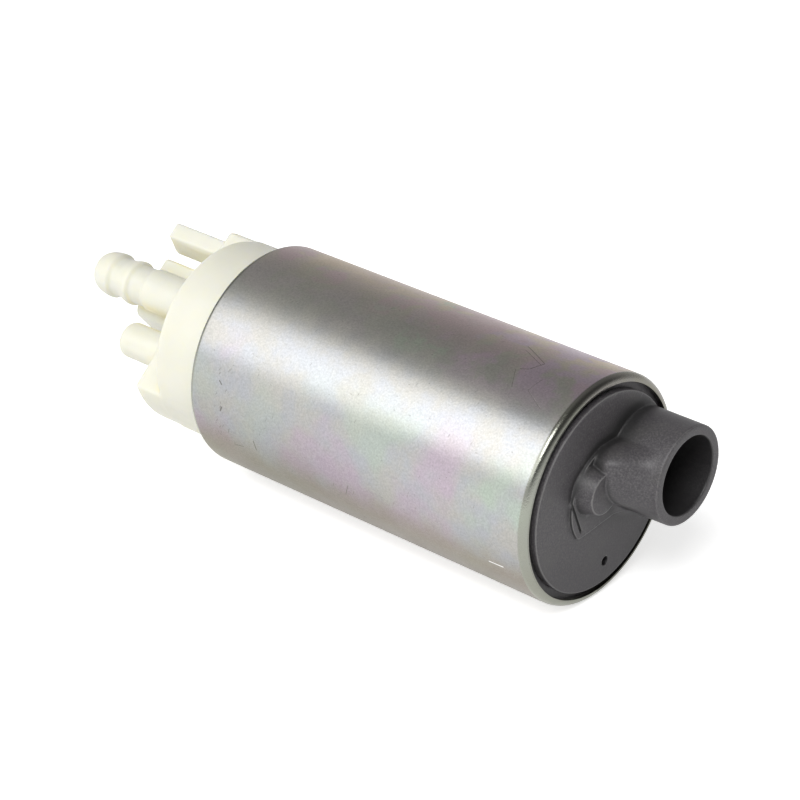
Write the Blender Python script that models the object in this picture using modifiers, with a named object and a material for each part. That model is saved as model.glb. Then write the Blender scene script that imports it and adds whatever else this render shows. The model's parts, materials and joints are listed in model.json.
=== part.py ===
"""In-tank electric fuel pump, modelled in Blender 4.5 (metres, +Z up).

The pump lies on its side. Its shaft runs along world X, with the black suction end at +X and the
cream pressure end at -X. Every piece is modelled in the pump's own frame: local Z along the shaft,
0 at the plane of the rolled lip and growing towards the suction end, local X away from the viewer
and local Y up. The cap's features have a frame of their own, turned about the shaft.
"""

import math

import bmesh
import bpy
from mathutils import Vector

MM = 0.001

# Clearances
SEAT_GAP = 0.15 * MM      # flat faces that are clamped together
SLIP_GAP = 0.20 * MM      # one piece slid into another
PRESS_GAP = 0.10 * MM     # pieces pressed on the shaft
RUN_GAP = 0.06 * MM       # shaft in its bushes
SIDE_GAP = 0.20 * MM      # impeller to the walls of its chamber
END_GAP = 0.30 * MM       # ends of pieces that lie in line

# Facets round each kind of turned piece
ROUND = 44
NECK_SIDES = 36
BORE_SIDES = 28
NOZZLE_SIDES = 18
SMALL_SIDES = 16
HOLE_SIDES = 8
CHANNEL_SIDES = 28
MAGNET_SIDES = 14
TURN_SIDES = 8            # straight pieces in one turn of a spring or winding

# Steel housing
HOUSING_R = 19.0 * MM
HOUSING_WALL = 1.0 * MM
HOUSING_LEN = 69.3 * MM
LIP_W = 1.3 * MM          # how far the lip reaches in from the outside
LIP_ROUND = 1.3 * MM
LIP_BORE_STEP = 0.25 * MM # straight bore under the lip's round edge
CRIMP_W = 1.9 * MM
CRIMP_ROUND = 0.9 * MM
COUNTERBORE = 0.2 * MM    # extra radius of the bore round the pump section

# Inlet cover
FACE_GAP = 1.2 * MM        # shadow gap between the cover's face and the lip
FACE_PROUD = 0.4 * MM
FACE_CHAMFER = 0.3 * MM
COVER_FLANGE_T = 5.35 * MM
HUB_R = 8.4 * MM
HUB_H = 0.5 * MM
HUB_FLAT_ANGLE = math.radians(-86)    # direction that the hub's flat faces
HUB_FLAT_DIST = 4.9 * MM
HUB_GROOVE = 0.4 * MM
HUB_GROOVE_FLOOR = 0.1 * MM           # hub left under the groove
HUB_GROOVE_FROM = (-8.3 * MM, 1.6 * MM)
HUB_GROOVE_TO = (-6.0 * MM, -4.0 * MM)
NECK_ANGLE = math.radians(19.4)       # direction of the neck's axis from the shaft's
NECK_BASE_R = 8.3 * MM
NECK_TIP_R = 8.2 * MM
NECK_LIP_GAP = 0.6 * MM    # neck's end inside the lip's bore, seen along the shaft
NECK_LEAN = (0.35 * MM, -0.35 * MM)   # neck's foot from under its end
NECK_BORE_R = 6.5 * MM
NECK_END = 10.2 * MM
NECK_EDGE = 0.4 * MM
NECK_FLOOR = 1.2 * MM      # depth of the neck's blind bore under the cover's face
PORT_RISE = 0.4 * MM       # how far the suction port's cutter reaches into that bore
FOOT_FILLET = 1.5 * MM     # fillet under the neck, on the side away from the web
FOOT_FROM = math.radians(205)
FOOT_TO = math.radians(305)
FOOT_FADE = math.radians(20)
WEB_REACH = 4.6 * MM       # how far the neck swells towards the boss
WEB_FROM = math.radians(132)
WEB_FULL_FROM = math.radians(160)
WEB_FULL_TO = math.radians(168)
WEB_TO = math.radians(222)
WEB_WALL_H = 2.2 * MM      # upright part of the swelling
WEB_H = 9.2 * MM           # height at which it has died out in the neck
WEB_LEVELS = 5
BOSS_AT = (-3.7 * MM, 2.55 * MM)
BOSS_R = 4.1 * MM
BOSS_TOP_R = 3.35 * MM
BOSS_H = 2.7 * MM          # above the hub
VENT_AT = (1.25 * MM, -12.85 * MM)
VENT_R = 0.75 * MM

# Pump section
CHAMBER_WALL = 3.25 * MM   # pump body outside the impeller's chamber
IMPELLER_T = 3.6 * MM
IMPELLER_VANES = 30
VANE_LEN = 2.6 * MM
VANE_T = 0.9 * MM
VANE_WEB_SHY = 1.0 * MM    # web's rim below the vanes' tips
VANE_WEB_T = 1.0 * MM
TIP_GAP = 0.3 * MM
CHANNEL_INSET = 0.3 * MM   # channel's edges from the vanes' tips and roots
PORT_INSET = 0.15 * MM     # ports' edges inside the channel's
CHANNEL_DEPTH = 1.1 * MM
CHANNEL_START = math.radians(14)
CHANNEL_SWEEP = math.radians(305)
PORT_SWEEP = math.radians(24)
BODY_WEB = 4.5 * MM
PAD_R = 2.5 * MM
PAD_T = 1.0 * MM
PAD_ROOF = 1.75 * MM       # cover left between the pad's recess and the neck's bore
BUSH_R = 3.3 * MM
BUSH_LEN = 4.0 * MM
BUSH_INSET = 0.3 * MM

# Motor
SHAFT_R = 2.0 * MM
SHAFT_FLAT = 1.5 * MM      # distance of the driving flat from the shaft's centre line
SHAFT_EDGE = 0.3 * MM
FLUX_T = 1.6 * MM
MAGNET_T = 3.7 * MM
MAGNET_SWEEP = math.radians(140)
MAGNET_INSET = 2.0 * MM
CLIP_T = 0.5 * MM
CLIP_SHY = 0.5 * MM
AIR_GAP = 0.7 * MM
CORE_TOP_INSET = 6.7 * MM
CORE_BOTTOM_INSET = 6.0 * MM
CORE_HUB_R = 4.2 * MM
TEETH = 6
TOOTH_W = 3.2 * MM
TOOTH_TIP_T = 1.5 * MM
TOOTH_TIP_SWEEP = math.radians(50)
INSULATOR_T = 0.9 * MM
INSULATOR_SHY = 0.4 * MM
COIL_T = 1.4 * MM
COIL_ROUND = 1.1 * MM
COIL_IN_R = 5.9 * MM
COIL_SHY = 0.5 * MM       # winding from the tooth's tip
SPACER_R = 3.2 * MM
COMM_EDGE = 0.9 * MM       # commutator outside and inside the brushes' track
COMM_T = 4.5 * MM
COMM_SLOT_W = 0.6 * MM
COMM_SLOT_DEPTH = 1.2 * MM
COMM_HUB_R = 3.4 * MM

# Outlet cap
CAP_ANGLE = math.radians(39.9)        # direction of the cap's p axis about the shaft
CAP_EDGE = 0.7 * MM
CAP_RIM_H = 11.25 * MM     # from the clamped shoulder to the low rim
PLATFORM_H = 6.2 * MM
PLATFORM_Q = 6.45 * MM
SKIRT_LEN = 15.85 * MM
SKIRT_T = 2.2 * MM
SKIRT_DEPTH = 4.7 * MM
SHAFT_WELL_R = 2.6 * MM
SHAFT_WELL_DEPTH = 2.0 * MM
SEAL_R = 0.6 * MM
SEAL_SQUEEZE = 0.15 * MM
SEAL_FROM_SHOULDER = 1.4 * MM

# Nozzle on the cap, in the cap's frame; heights are from the platform
NOZZLE_AT = (2.0 * MM, 2.75 * MM)
NOZZLE_LEN = 22.5 * MM
NOZZLE_ROOT_R = 3.75 * MM
NOZZLE_ROOT_H = 9.9 * MM
NOZZLE_NECK_R = 3.4 * MM
NOZZLE_TAPER = 0.8 * MM    # from the root down to the neck
NOZZLE_TIP_R = 2.5 * MM
BARB_R = 3.9 * MM
BARB_2_R = 3.9 * MM
BARB_H = 17.6 * MM
BARB_2_H = 14.0 * MM
BARB_CREST = 0.3 * MM      # half of a barb's flat crest
BARB_BACK = 0.6 * MM       # steep side of a barb, towards the cap
BARB_RUN = 1.7 * MM        # shallow side of the second barb
DOME_STEPS = 3
NOZZLE_BORE_R = 1.9 * MM

# Valve stub, connector shroud, guide post and rib on the cap
STUB_AT = (-7.5 * MM, 2.65 * MM)
STUB_R = 3.1 * MM
STUB_LEN = 9.2 * MM
STUB_EDGE = 0.9 * MM
SHROUD_P = (-1.6 * MM, 9.7 * MM)
SHROUD_INSET = 5.0 * MM    # shroud's far side from the cap's rim
SHROUD_NEAR_Q = -2.8 * MM
SHROUD_LEN = 16.7 * MM
SHROUD_WALL = 1.1 * MM
SHROUD_CORNER = 1.6 * MM
SOCKET_DEPTH = 12.0 * MM
POST_INSET = 2.1 * MM
POST_T = 3.95 * MM
POST_Q = (-1.85 * MM, 2.85 * MM)
POST_LEN = 13.9 * MM
POST_CHAMFER_P = 1.1 * MM  # slanted side towards the nozzle
POST_CHAMFER_Q = 3.6 * MM
RIB_FROM = (-6.2 * MM, 1.2 * MM)
RIB_TO = (-1.9 * MM, -3.4 * MM)
RIB_T = 1.2 * MM
RIB_H = 5.4 * MM

# Brushes, chokes and terminals
BRUSH_ANGLE = math.radians(20)        # in the cap's frame
BRUSH_CLEAR = 1.2 * MM     # brush track outside the commutator's hub
BRUSH_RADIAL = 4.0 * MM
BRUSH_ACROSS = 5.0 * MM
BRUSH_LEN = 7.0 * MM
BRUSH_STANDS = 2.0 * MM    # from the cap's web to the commutator
BRUSH_CHAMBER = 10.0 * MM
BRUSH_SPRING_R = 1.45 * MM
BRUSH_SPRING_WIRE = 0.25 * MM
LEAD_R = 0.45 * MM
BRUSH_SPRING_TURNS = 4
LEAD_BEND = 0.9 * MM       # straight start of a lead beside its brush
LEAD_STEPS = 4
CHOKE_ANGLES = (math.radians(-114.3), math.radians(-23.2))
CHOKE_INSET = 1.85 * MM    # choke's pocket inside the skirt
CHOKE_TURNS = 4
CHOKE_CORE_R = 1.4 * MM
CHOKE_WIRE = 0.35 * MM
CHOKE_LEN = 9.6 * MM
CHOKE_POCKET_R = 2.55 * MM
TERMINALS_P = (1.8 * MM, 6.3 * MM)
TERMINAL_Q = -7.3 * MM
TERMINAL_T = 0.8 * MM
TERMINAL_W = 2.8 * MM
TERMINAL_STANDS = 7.5 * MM # into the socket, from its floor

# Check valve under the nozzle and relief valve in the stub
FLOW_AT = (2.4 * MM, 6.6 * MM)
FLOW_R = 1.8 * MM
PLENUM_R = 2.9 * MM
PLENUM_FLOOR = 11.2 * MM   # under the cap's web
PLENUM_H = 2.8 * MM
FLOW_OVERLAP = 1.7 * MM    # how deep the flow hole runs beside the plenum
VALVE_BORE_R = 3.4 * MM
VALVE_BORE_LEN = 13.4 * MM
NOZZLE_CHAMBER_R = 2.5 * MM
NOZZLE_CHAMBER_LEN = 9.0 * MM
SEAT_T = 1.9 * MM
SEAT_BORE_R = 1.8 * MM
POPPET_R = 2.6 * MM
POPPET_HEAD = 1.6 * MM
POPPET_STEM_R = 1.1 * MM
POPPET_STEM_LEN = 9.6 * MM
RETAINER_T = 1.8 * MM
RETAINER_HOLES = 4
RETAINER_HOLE_R = 0.55 * MM
CHECK_SPRING_R = 1.85 * MM
CHECK_SPRING_WIRE = 0.3 * MM
CHECK_SPRING_TURNS = 4
RELIEF_BORE_R = 2.1 * MM
RELIEF_BORE_LEN = 19.0 * MM
RELIEF_SEAT_LEN = 5.0 * MM
RELIEF_SEAT_BORE_R = 0.9 * MM
RELIEF_SEAT_CHAMFER = 0.45 * MM
RELIEF_BALL_R = 1.5 * MM
RELIEF_SPRING_R = 1.3 * MM
RELIEF_SPRING_WIRE = 0.25 * MM
RELIEF_SPRING_TURNS = 4
RELIEF_VENT_R = 1.3 * MM
OVERCUT = 1.0 * MM         # how far a cutter runs past the face that it opens
BURY = 1.5 * MM            # how deep a joined piece starts inside its carrier

# Stations along the shaft, from the lip down to the nozzle
Z_FACE = FACE_PROUD
Z_FLANGE = -(HOUSING_WALL + SEAT_GAP)
Z_COVER_BACK = Z_FLANGE - COVER_FLANGE_T
Z_BODY_TOP = Z_COVER_BACK - SEAT_GAP
Z_IMPELLER_TOP = Z_COVER_BACK - SIDE_GAP
Z_IMPELLER_BOTTOM = Z_IMPELLER_TOP - IMPELLER_T
Z_BODY_FLOOR = Z_IMPELLER_BOTTOM - SIDE_GAP
Z_BODY_BOTTOM = Z_BODY_FLOOR - BODY_WEB
Z_FLUX_TOP = Z_BODY_BOTTOM - END_GAP
Z_SHOULDER = -HOUSING_LEN + HOUSING_WALL + SEAT_GAP
Z_SKIRT = Z_SHOULDER + SKIRT_LEN
Z_FLUX_BOTTOM = Z_SKIRT + END_GAP
Z_WEB = Z_SKIRT - SKIRT_DEPTH
Z_COMM_FACE = Z_WEB + BRUSH_STANDS
Z_COMM_TOP = Z_COMM_FACE + COMM_T
Z_CORE_TOP = Z_FLUX_TOP - CORE_TOP_INSET
Z_CORE_BOTTOM = Z_FLUX_BOTTOM + CORE_BOTTOM_INSET
Z_PAD_RECESS = Z_FACE - NECK_FLOOR - PAD_ROOF
Z_PAD = Z_PAD_RECESS - SEAT_GAP
Z_SHAFT_TOP = Z_PAD - PAD_T - SEAT_GAP
Z_RIM = Z_SHOULDER - CAP_RIM_H
Z_PLATFORM = Z_RIM - PLATFORM_H
Z_NOZZLE_TIP = Z_PLATFORM - NOZZLE_LEN
Z_PLENUM = Z_WEB - PLENUM_FLOOR
Z_VALVE_BORE = Z_PLENUM - PLENUM_H
Z_VALVE_STEP = Z_VALVE_BORE - VALVE_BORE_LEN
Z_BRUSH_TOP = Z_COMM_FACE - END_GAP
Z_BRUSH_BOTTOM = Z_BRUSH_TOP - BRUSH_LEN
Z_BRUSH_CHAMBER = Z_WEB - BRUSH_CHAMBER
Z_SHROUD_END = Z_PLATFORM - SHROUD_LEN
Z_SOCKET_FLOOR = Z_SHROUD_END + SOCKET_DEPTH

# Radii that follow from the housing and from each other
BORE_R = HOUSING_R - HOUSING_WALL
LIP_BORE_R = HOUSING_R - LIP_W
CRIMP_BORE_R = HOUSING_R - CRIMP_W
COUNTERBORE_R = BORE_R + COUNTERBORE
SKIRT_R = BORE_R - SLIP_GAP
FLANGE_R = COUNTERBORE_R - SEAT_GAP
FACE_R = LIP_BORE_R - FACE_GAP
CAP_R = CRIMP_BORE_R - END_GAP
CHAMBER_R = FLANGE_R - CHAMBER_WALL
IMPELLER_R = CHAMBER_R - TIP_GAP
VANE_ROOT_R = IMPELLER_R - VANE_LEN
VANE_WEB_R = IMPELLER_R - VANE_WEB_SHY
CHANNEL_IN_R = VANE_ROOT_R - CHANNEL_INSET
CHANNEL_OUT_R = IMPELLER_R - CHANNEL_INSET
FLUX_R = BORE_R - SLIP_GAP
FLUX_IN_R = FLUX_R - FLUX_T
MAGNET_R = FLUX_IN_R - SLIP_GAP
MAGNET_IN_R = MAGNET_R - MAGNET_T
CLIP_IN_R = MAGNET_IN_R + CLIP_SHY
CORE_R = MAGNET_IN_R - AIR_GAP
COIL_OUT_R = CORE_R - TOOTH_TIP_T - COIL_SHY
BRUSH_AT_R = COMM_HUB_R + BRUSH_CLEAR + BRUSH_RADIAL / 2
COMM_R = BRUSH_AT_R + BRUSH_RADIAL / 2 + COMM_EDGE
CHOKE_AT_R = SKIRT_R - SKIRT_T - CHOKE_POCKET_R - CHOKE_INSET
SHROUD_Q = (SHROUD_INSET - CAP_R, SHROUD_NEAR_Q)
POST_P = (CAP_R - POST_INSET - POST_T, CAP_R - POST_INSET)
# A facet of the housing lies flat on the ground, so the shaft's height is the facets' distance
AXIS_HEIGHT = HOUSING_R * math.cos(math.pi / ROUND)
NECK_AT_R = LIP_BORE_R - NECK_LIP_GAP - NECK_TIP_R
NECK_AT = (NECK_AT_R * math.cos(NECK_ANGLE), NECK_AT_R * math.sin(NECK_ANGLE))


def clear_scene():
    for obj in list(bpy.data.objects):
        bpy.data.objects.remove(obj, do_unlink=True)


def new_collection(name):
    collection = bpy.data.collections.new(name)
    bpy.context.scene.collection.children.link(collection)
    return collection


def new_empty(name, parent=None):
    empty = bpy.data.objects.new(name, None)
    GUIDES.objects.link(empty)
    empty.parent = parent
    return empty


def material(name, color, roughness, metallic=0.0):
    made = bpy.data.materials.new(name)
    made.use_nodes = True
    shader = made.node_tree.nodes["Principled BSDF"]
    shader.inputs["Base Color"].default_value = (*color, 1.0)
    shader.inputs["Roughness"].default_value = roughness
    shader.inputs["Metallic"].default_value = metallic
    return made


def add_object(name, data, finish, parent):
    """A part when it has a finish, and a guide for Booleans when it has none."""
    obj = bpy.data.objects.new(name, data)
    obj.parent = parent
    if finish is None:
        GUIDES.objects.link(obj)
        obj.hide_render = True
        obj.display_type = 'WIRE'
    else:
        PARTS.objects.link(obj)
        data.materials.append(finish)
    return obj


def turned(name, profile, segments, finish=None, parent=None, at=(0.0, 0.0), ring=False):
    """A solid of revolution about local Z. The profile (radius, z) runs down the outer side.

    A ring's profile is a closed loop clear of the axis; any other starts and ends on the axis.
    """
    mesh = bpy.data.meshes.new(name)
    count = len(profile)
    edges = [(i, i + 1) for i in range(count - 1)]
    if ring:
        edges.append((count - 1, 0))
    mesh.from_pydata([(r, 0.0, z) for r, z in profile], edges, [])
    obj = add_object(name, mesh, finish, parent or PUMP)
    obj.location = (at[0], at[1], 0.0)
    obj.rotation_euler = (0.0, 0.0, math.pi / segments)
    screw = obj.modifiers.new("turn", 'SCREW')
    screw.angle = math.tau
    screw.steps = segments
    screw.render_steps = segments
    screw.use_merge_vertices = True
    screw.merge_threshold = 0.000001
    screw.use_smooth_shade = True
    return obj


def plate(name, outlines, z_low, z_high, finish=None, parent=None):
    """A flat outline, with any holes after it, extruded along local Z."""
    curve = bpy.data.curves.new(name, 'CURVE')
    curve.dimensions = '2D'
    curve.fill_mode = 'BOTH'
    curve.extrude = (z_high - z_low) / 2
    for outline in outlines:
        spline = curve.splines.new('POLY')
        spline.points.add(len(outline) - 1)
        for point, (x, y) in zip(spline.points, outline):
            point.co = (x, y, 0.0, 1.0)
        spline.use_cyclic_u = True
    flat = bpy.data.objects.new(name + "_flat", curve)
    bpy.context.scene.collection.objects.link(flat)
    graph = bpy.context.evaluated_depsgraph_get()
    mesh = bpy.data.meshes.new_from_object(flat.evaluated_get(graph))
    bpy.data.objects.remove(flat, do_unlink=True)
    weld(mesh)
    mesh.name = name
    obj = add_object(name, mesh, finish, parent or PUMP)
    obj.location = (0.0, 0.0, (z_low + z_high) / 2)
    return obj


def loft(name, rings, finish=None, parent=None):
    """A closed solid through rings of points, each with as many points, from low to high."""
    work = bmesh.new()
    sections = [[work.verts.new(point) for point in ring] for ring in rings]
    count = len(rings[0])
    for lower, upper in zip(sections, sections[1:]):
        for i in range(count):
            j = (i + 1) % count
            work.faces.new((lower[i], lower[j], upper[j], upper[i]))
    work.faces.new(list(reversed(sections[0])))
    work.faces.new(sections[-1])
    mesh = bpy.data.meshes.new(name)
    work.to_mesh(mesh)
    work.free()
    return add_object(name, mesh, finish, parent or PUMP)


def weld(mesh):
    work = bmesh.new()
    work.from_mesh(mesh)
    bmesh.ops.remove_doubles(work, verts=work.verts, dist=0.000001)
    bmesh.ops.recalc_face_normals(work, faces=work.faces)
    work.to_mesh(mesh)
    work.free()


def wire(name, points, radius, finish, parent=None, resolution=1):
    """A round wire along a line of points, with closed ends."""
    curve = bpy.data.curves.new(name, 'CURVE')
    curve.dimensions = '3D'
    curve.bevel_depth = radius
    curve.bevel_resolution = resolution
    curve.use_fill_caps = True
    spline = curve.splines.new('POLY')
    spline.points.add(len(points) - 1)
    for point, place in zip(spline.points, points):
        point.co = (*place, 1.0)
    return add_object(name, curve, finish, parent or PUMP)


def boolean(obj, other, operation):
    step = obj.modifiers.new(other.name, 'BOOLEAN')
    step.object = other
    step.operation = operation
    step.solver = 'EXACT'


def cut(obj, *cutters):
    for cutter in cutters:
        boolean(obj, cutter, 'DIFFERENCE')


def join(obj, *others):
    for other in others:
        boolean(obj, other, 'UNION')


def polar(radius, angle):
    return (radius * math.cos(angle), radius * math.sin(angle))


def arc(radius, start, end, steps, centre=(0.0, 0.0)):
    """Points on an arc, both ends included."""
    points = []
    for i in range(steps + 1):
        x, y = polar(radius, start + (end - start) * i / steps)
        points.append((centre[0] + x, centre[1] + y))
    return points


def circle(radius, steps, centre=(0.0, 0.0)):
    return arc(radius, math.pi / steps, math.tau + math.pi / steps, steps, centre)[:-1]


def sector(inner, outer, start, end, steps):
    return arc(outer, start, end, steps) + arc(inner, end, start, steps)


def rectangle(x_range, y_range):
    return [(x_range[0], y_range[0]), (x_range[1], y_range[0]),
            (x_range[1], y_range[1]), (x_range[0], y_range[1])]


def rounded_rectangle(x_range, y_range, radius, steps=3):
    points = []
    corners = ((x_range[1], y_range[1], 0), (x_range[0], y_range[1], 1),
               (x_range[0], y_range[0], 2), (x_range[1], y_range[0], 3))
    for x, y, quarter in corners:
        centre = (x - math.copysign(radius, x - sum(x_range) / 2),
                  y - math.copysign(radius, y - sum(y_range) / 2))
        start = quarter * math.pi / 2
        points += arc(radius, start, start + math.pi / 2, steps, centre)
    return points


def turned_block(centre, angle, half_along, half_across):
    """Outline of a rectangle whose long way points along the angle."""
    along = Vector(polar(half_along, angle))
    across = Vector(polar(half_across, angle + math.pi / 2))
    middle = Vector(centre)
    return [tuple(middle + a * along + b * across)
            for a, b in ((-1, -1), (1, -1), (1, 1), (-1, 1))]


def strip(start, end, thickness):
    """Outline of a straight strip between two points."""
    a, b = Vector(start), Vector(end)
    middle = (a + b) / 2
    run = b - a
    return turned_block(middle, math.atan2(run.y, run.x), run.length / 2, thickness / 2)


def helix(radius, z_from, z_to, turns, centre=(0.0, 0.0)):
    """A wire's centre line whose first and last three quarters of a turn lie flat."""
    points = []
    count = turns * TURN_SIDES
    flat = 0.75 * TURN_SIDES
    for i in range(count + 1):
        share = min(max((i - flat) / (count - 2 * flat), 0.0), 1.0)
        x, y = polar(radius, math.tau * i / TURN_SIDES)
        points.append((centre[0] + x, centre[1] + y, z_from + (z_to - z_from) * share))
    return points


def make_housing():
    """Drawn can with both ends rolled inwards and a counterbore round the pump section."""
    top = arc(LIP_ROUND, math.pi / 2, 0.0, 4, (HOUSING_R - LIP_ROUND, -LIP_ROUND))
    bottom = arc(CRIMP_ROUND, 0.0, -math.pi / 2, 3,
                 (HOUSING_R - CRIMP_ROUND, CRIMP_ROUND - HOUSING_LEN))
    under_lip = Z_FLANGE + SEAT_GAP
    step_at = Z_BODY_BOTTOM - SEAT_GAP
    over_crimp = HOUSING_WALL - HOUSING_LEN
    profile = [(LIP_BORE_R, under_lip), (LIP_BORE_R, -LIP_BORE_STEP)]
    profile += top + bottom
    profile += [(CRIMP_BORE_R, -HOUSING_LEN), (CRIMP_BORE_R, over_crimp), (BORE_R, over_crimp),
                (BORE_R, step_at), (COUNTERBORE_R, step_at), (COUNTERBORE_R, under_lip)]
    turned("housing", profile, ROUND, STEEL, ring=True)


def smooth_step(share):
    share = min(max(share, 0.0), 1.0)
    return share * share * (3.0 - 2.0 * share)


def rise_and_fall(angle, start, full_from, full_to, end):
    """0 outside start and end, 1 between the full angles, and smooth between."""
    rise = smooth_step((angle - start) / (full_from - start))
    return rise * smooth_step((end - angle) / (end - full_to))


def neck_radius(angle, z):
    """Outside of the suction neck: a drafted tube that swells into a web towards the boss."""
    height = max(z - Z_FACE, 0.0)
    radius = NECK_BASE_R + (NECK_TIP_R - NECK_BASE_R) * height / (NECK_END - Z_FACE)
    web = rise_and_fall(angle, WEB_FROM, WEB_FULL_FROM, WEB_FULL_TO, WEB_TO)
    radius += WEB_REACH * web * smooth_step((WEB_H - height) / (WEB_H - WEB_WALL_H))
    foot = rise_and_fall(angle, FOOT_FROM, FOOT_FROM + FOOT_FADE, FOOT_TO - FOOT_FADE, FOOT_TO)
    rest = 1.0 - min(height / FOOT_FILLET, 1.0)
    return radius + FOOT_FILLET * foot * (1.0 - math.sqrt(1.0 - rest * rest))


def neck_solid():
    """Suction neck, lofted through its sections and solid until its bore is cut."""
    levels = [Z_FLANGE - BURY, Z_FACE, Z_FACE + FOOT_FILLET / 4, Z_FACE + FOOT_FILLET]
    for i in range(WEB_LEVELS + 1):
        levels.append(Z_FACE + WEB_WALL_H + (WEB_H - WEB_WALL_H) * i / WEB_LEVELS)
    sections = [(z, 0.0) for z in levels] + [(NECK_END - NECK_EDGE, 0.0), (NECK_END, NECK_EDGE)]
    rings = []
    for z, inset in sections:
        ring = []
        lean = (NECK_END - z) / (NECK_END - Z_FACE)
        for i in range(NECK_SIDES):
            angle = math.tau * (i + 0.5) / NECK_SIDES
            x, y = polar(neck_radius(angle, z) - inset, angle)
            ring.append((NECK_AT[0] + NECK_LEAN[0] * lean + x,
                         NECK_AT[1] + NECK_LEAN[1] * lean + y, z))
        rings.append(ring)
    return loft("neck_tube", rings)


def make_inlet_cover():
    """Moulded disc with the suction neck, its web, a boss and the impeller's side channel."""
    hub_top = Z_FACE + HUB_H
    profile = [(0.0, Z_FACE), (FACE_R - FACE_CHAMFER, Z_FACE), (FACE_R, Z_FACE - FACE_CHAMFER),
               (FACE_R, Z_FLANGE), (FLANGE_R, Z_FLANGE), (FLANGE_R, Z_COVER_BACK),
               (PAD_R + SEAT_GAP, Z_COVER_BACK), (PAD_R + SEAT_GAP, Z_PAD_RECESS),
               (0.0, Z_PAD_RECESS)]
    cover = turned("inlet_cover", profile, ROUND, BLACK)

    half = math.acos(HUB_FLAT_DIST / HUB_R)
    hub_outline = arc(HUB_R, HUB_FLAT_ANGLE + half, HUB_FLAT_ANGLE + math.tau - half, NOZZLE_SIDES)
    hub = plate("hub_pad", [hub_outline], Z_FACE - BURY, hub_top)
    groove = plate("hub_groove", [strip(HUB_GROOVE_FROM, HUB_GROOVE_TO, HUB_GROOVE)],
                   Z_FACE + HUB_GROOVE_FLOOR, hub_top + OVERCUT)
    cut(hub, groove)
    boss_top = hub_top + BOSS_H
    boss = turned("cover_boss", [(0.0, boss_top), (BOSS_TOP_R, boss_top), (BOSS_R, hub_top),
                                 (BOSS_R, Z_FACE - BURY / 2), (0.0, Z_FACE - BURY / 2)],
                  NOZZLE_SIDES, at=BOSS_AT)
    join(cover, hub, neck_solid(), boss)

    floor = Z_FACE - NECK_FLOOR
    bore = turned("neck_bore", [(0.0, NECK_END + OVERCUT),
                                (NECK_BORE_R + NECK_EDGE + OVERCUT, NECK_END + OVERCUT),
                                (NECK_BORE_R, NECK_END - NECK_EDGE), (NECK_BORE_R, floor),
                                (0.0, floor)], BORE_SIDES, at=NECK_AT)
    port = plate("suction_port", [sector(CHANNEL_IN_R + PORT_INSET, CHANNEL_OUT_R - PORT_INSET,
                                         NECK_ANGLE - PORT_SWEEP / 2,
                                         NECK_ANGLE + PORT_SWEEP / 2, 4)],
                 Z_COVER_BACK - OVERCUT, floor + PORT_RISE)
    channel = side_channel("cover_channel", Z_COVER_BACK - OVERCUT, Z_COVER_BACK + CHANNEL_DEPTH)
    vent = turned("vent_hole", [(0.0, Z_FACE + OVERCUT), (VENT_R, Z_FACE + OVERCUT),
                                (VENT_R, Z_COVER_BACK - OVERCUT),
                                (0.0, Z_COVER_BACK - OVERCUT)], HOLE_SIDES, at=VENT_AT)
    cut(cover, bore, channel, port, vent)


def side_channel(name, z_low, z_high):
    """Cutter for the groove that the impeller's vanes sweep, broken by the stripper."""
    return plate(name, [sector(CHANNEL_IN_R, CHANNEL_OUT_R, CHANNEL_START,
                               CHANNEL_START + CHANNEL_SWEEP, CHANNEL_SIDES)], z_low, z_high)


def make_thrust_pad():
    turned("thrust_pad", [(0.0, Z_PAD), (PAD_R, Z_PAD), (PAD_R, Z_PAD - PAD_T),
                          (0.0, Z_PAD - PAD_T)], SMALL_SIDES, CERAMIC)


def shaft_outline(radius, flat):
    """The shaft's driving end: a circle with one flat."""
    half = math.acos(flat / radius)
    return arc(radius, half, math.tau - half, SMALL_SIDES)


def make_impeller():
    """Side channel impeller: radial vanes on both faces of a thin web, on a D-shaped bore."""
    outline = []
    for i in range(IMPELLER_VANES):
        middle = math.tau * i / IMPELLER_VANES
        pitch = math.tau / IMPELLER_VANES
        tip = math.asin(VANE_T / 2 / IMPELLER_R)
        root = math.asin(VANE_T / 2 / VANE_ROOT_R)
        outline += [polar(VANE_ROOT_R, middle - root), polar(IMPELLER_R, middle - tip),
                    polar(IMPELLER_R, middle + tip), polar(VANE_ROOT_R, middle + root)]
        outline.append(polar(VANE_ROOT_R, middle + pitch / 2))
    bore = shaft_outline(SHAFT_R + PRESS_GAP, SHAFT_FLAT + PRESS_GAP)
    impeller = plate("impeller", [outline, bore], Z_IMPELLER_BOTTOM, Z_IMPELLER_TOP, PHENOLIC)
    middle = (Z_IMPELLER_BOTTOM + Z_IMPELLER_TOP) / 2
    web = turned("vane_web", [(VANE_ROOT_R - BURY, middle + VANE_WEB_T / 2),
                              (VANE_WEB_R, middle + VANE_WEB_T / 2),
                              (VANE_WEB_R, middle - VANE_WEB_T / 2),
                              (VANE_ROOT_R - BURY, middle - VANE_WEB_T / 2)],
                 IMPELLER_VANES, ring=True)
    join(impeller, web)


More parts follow.
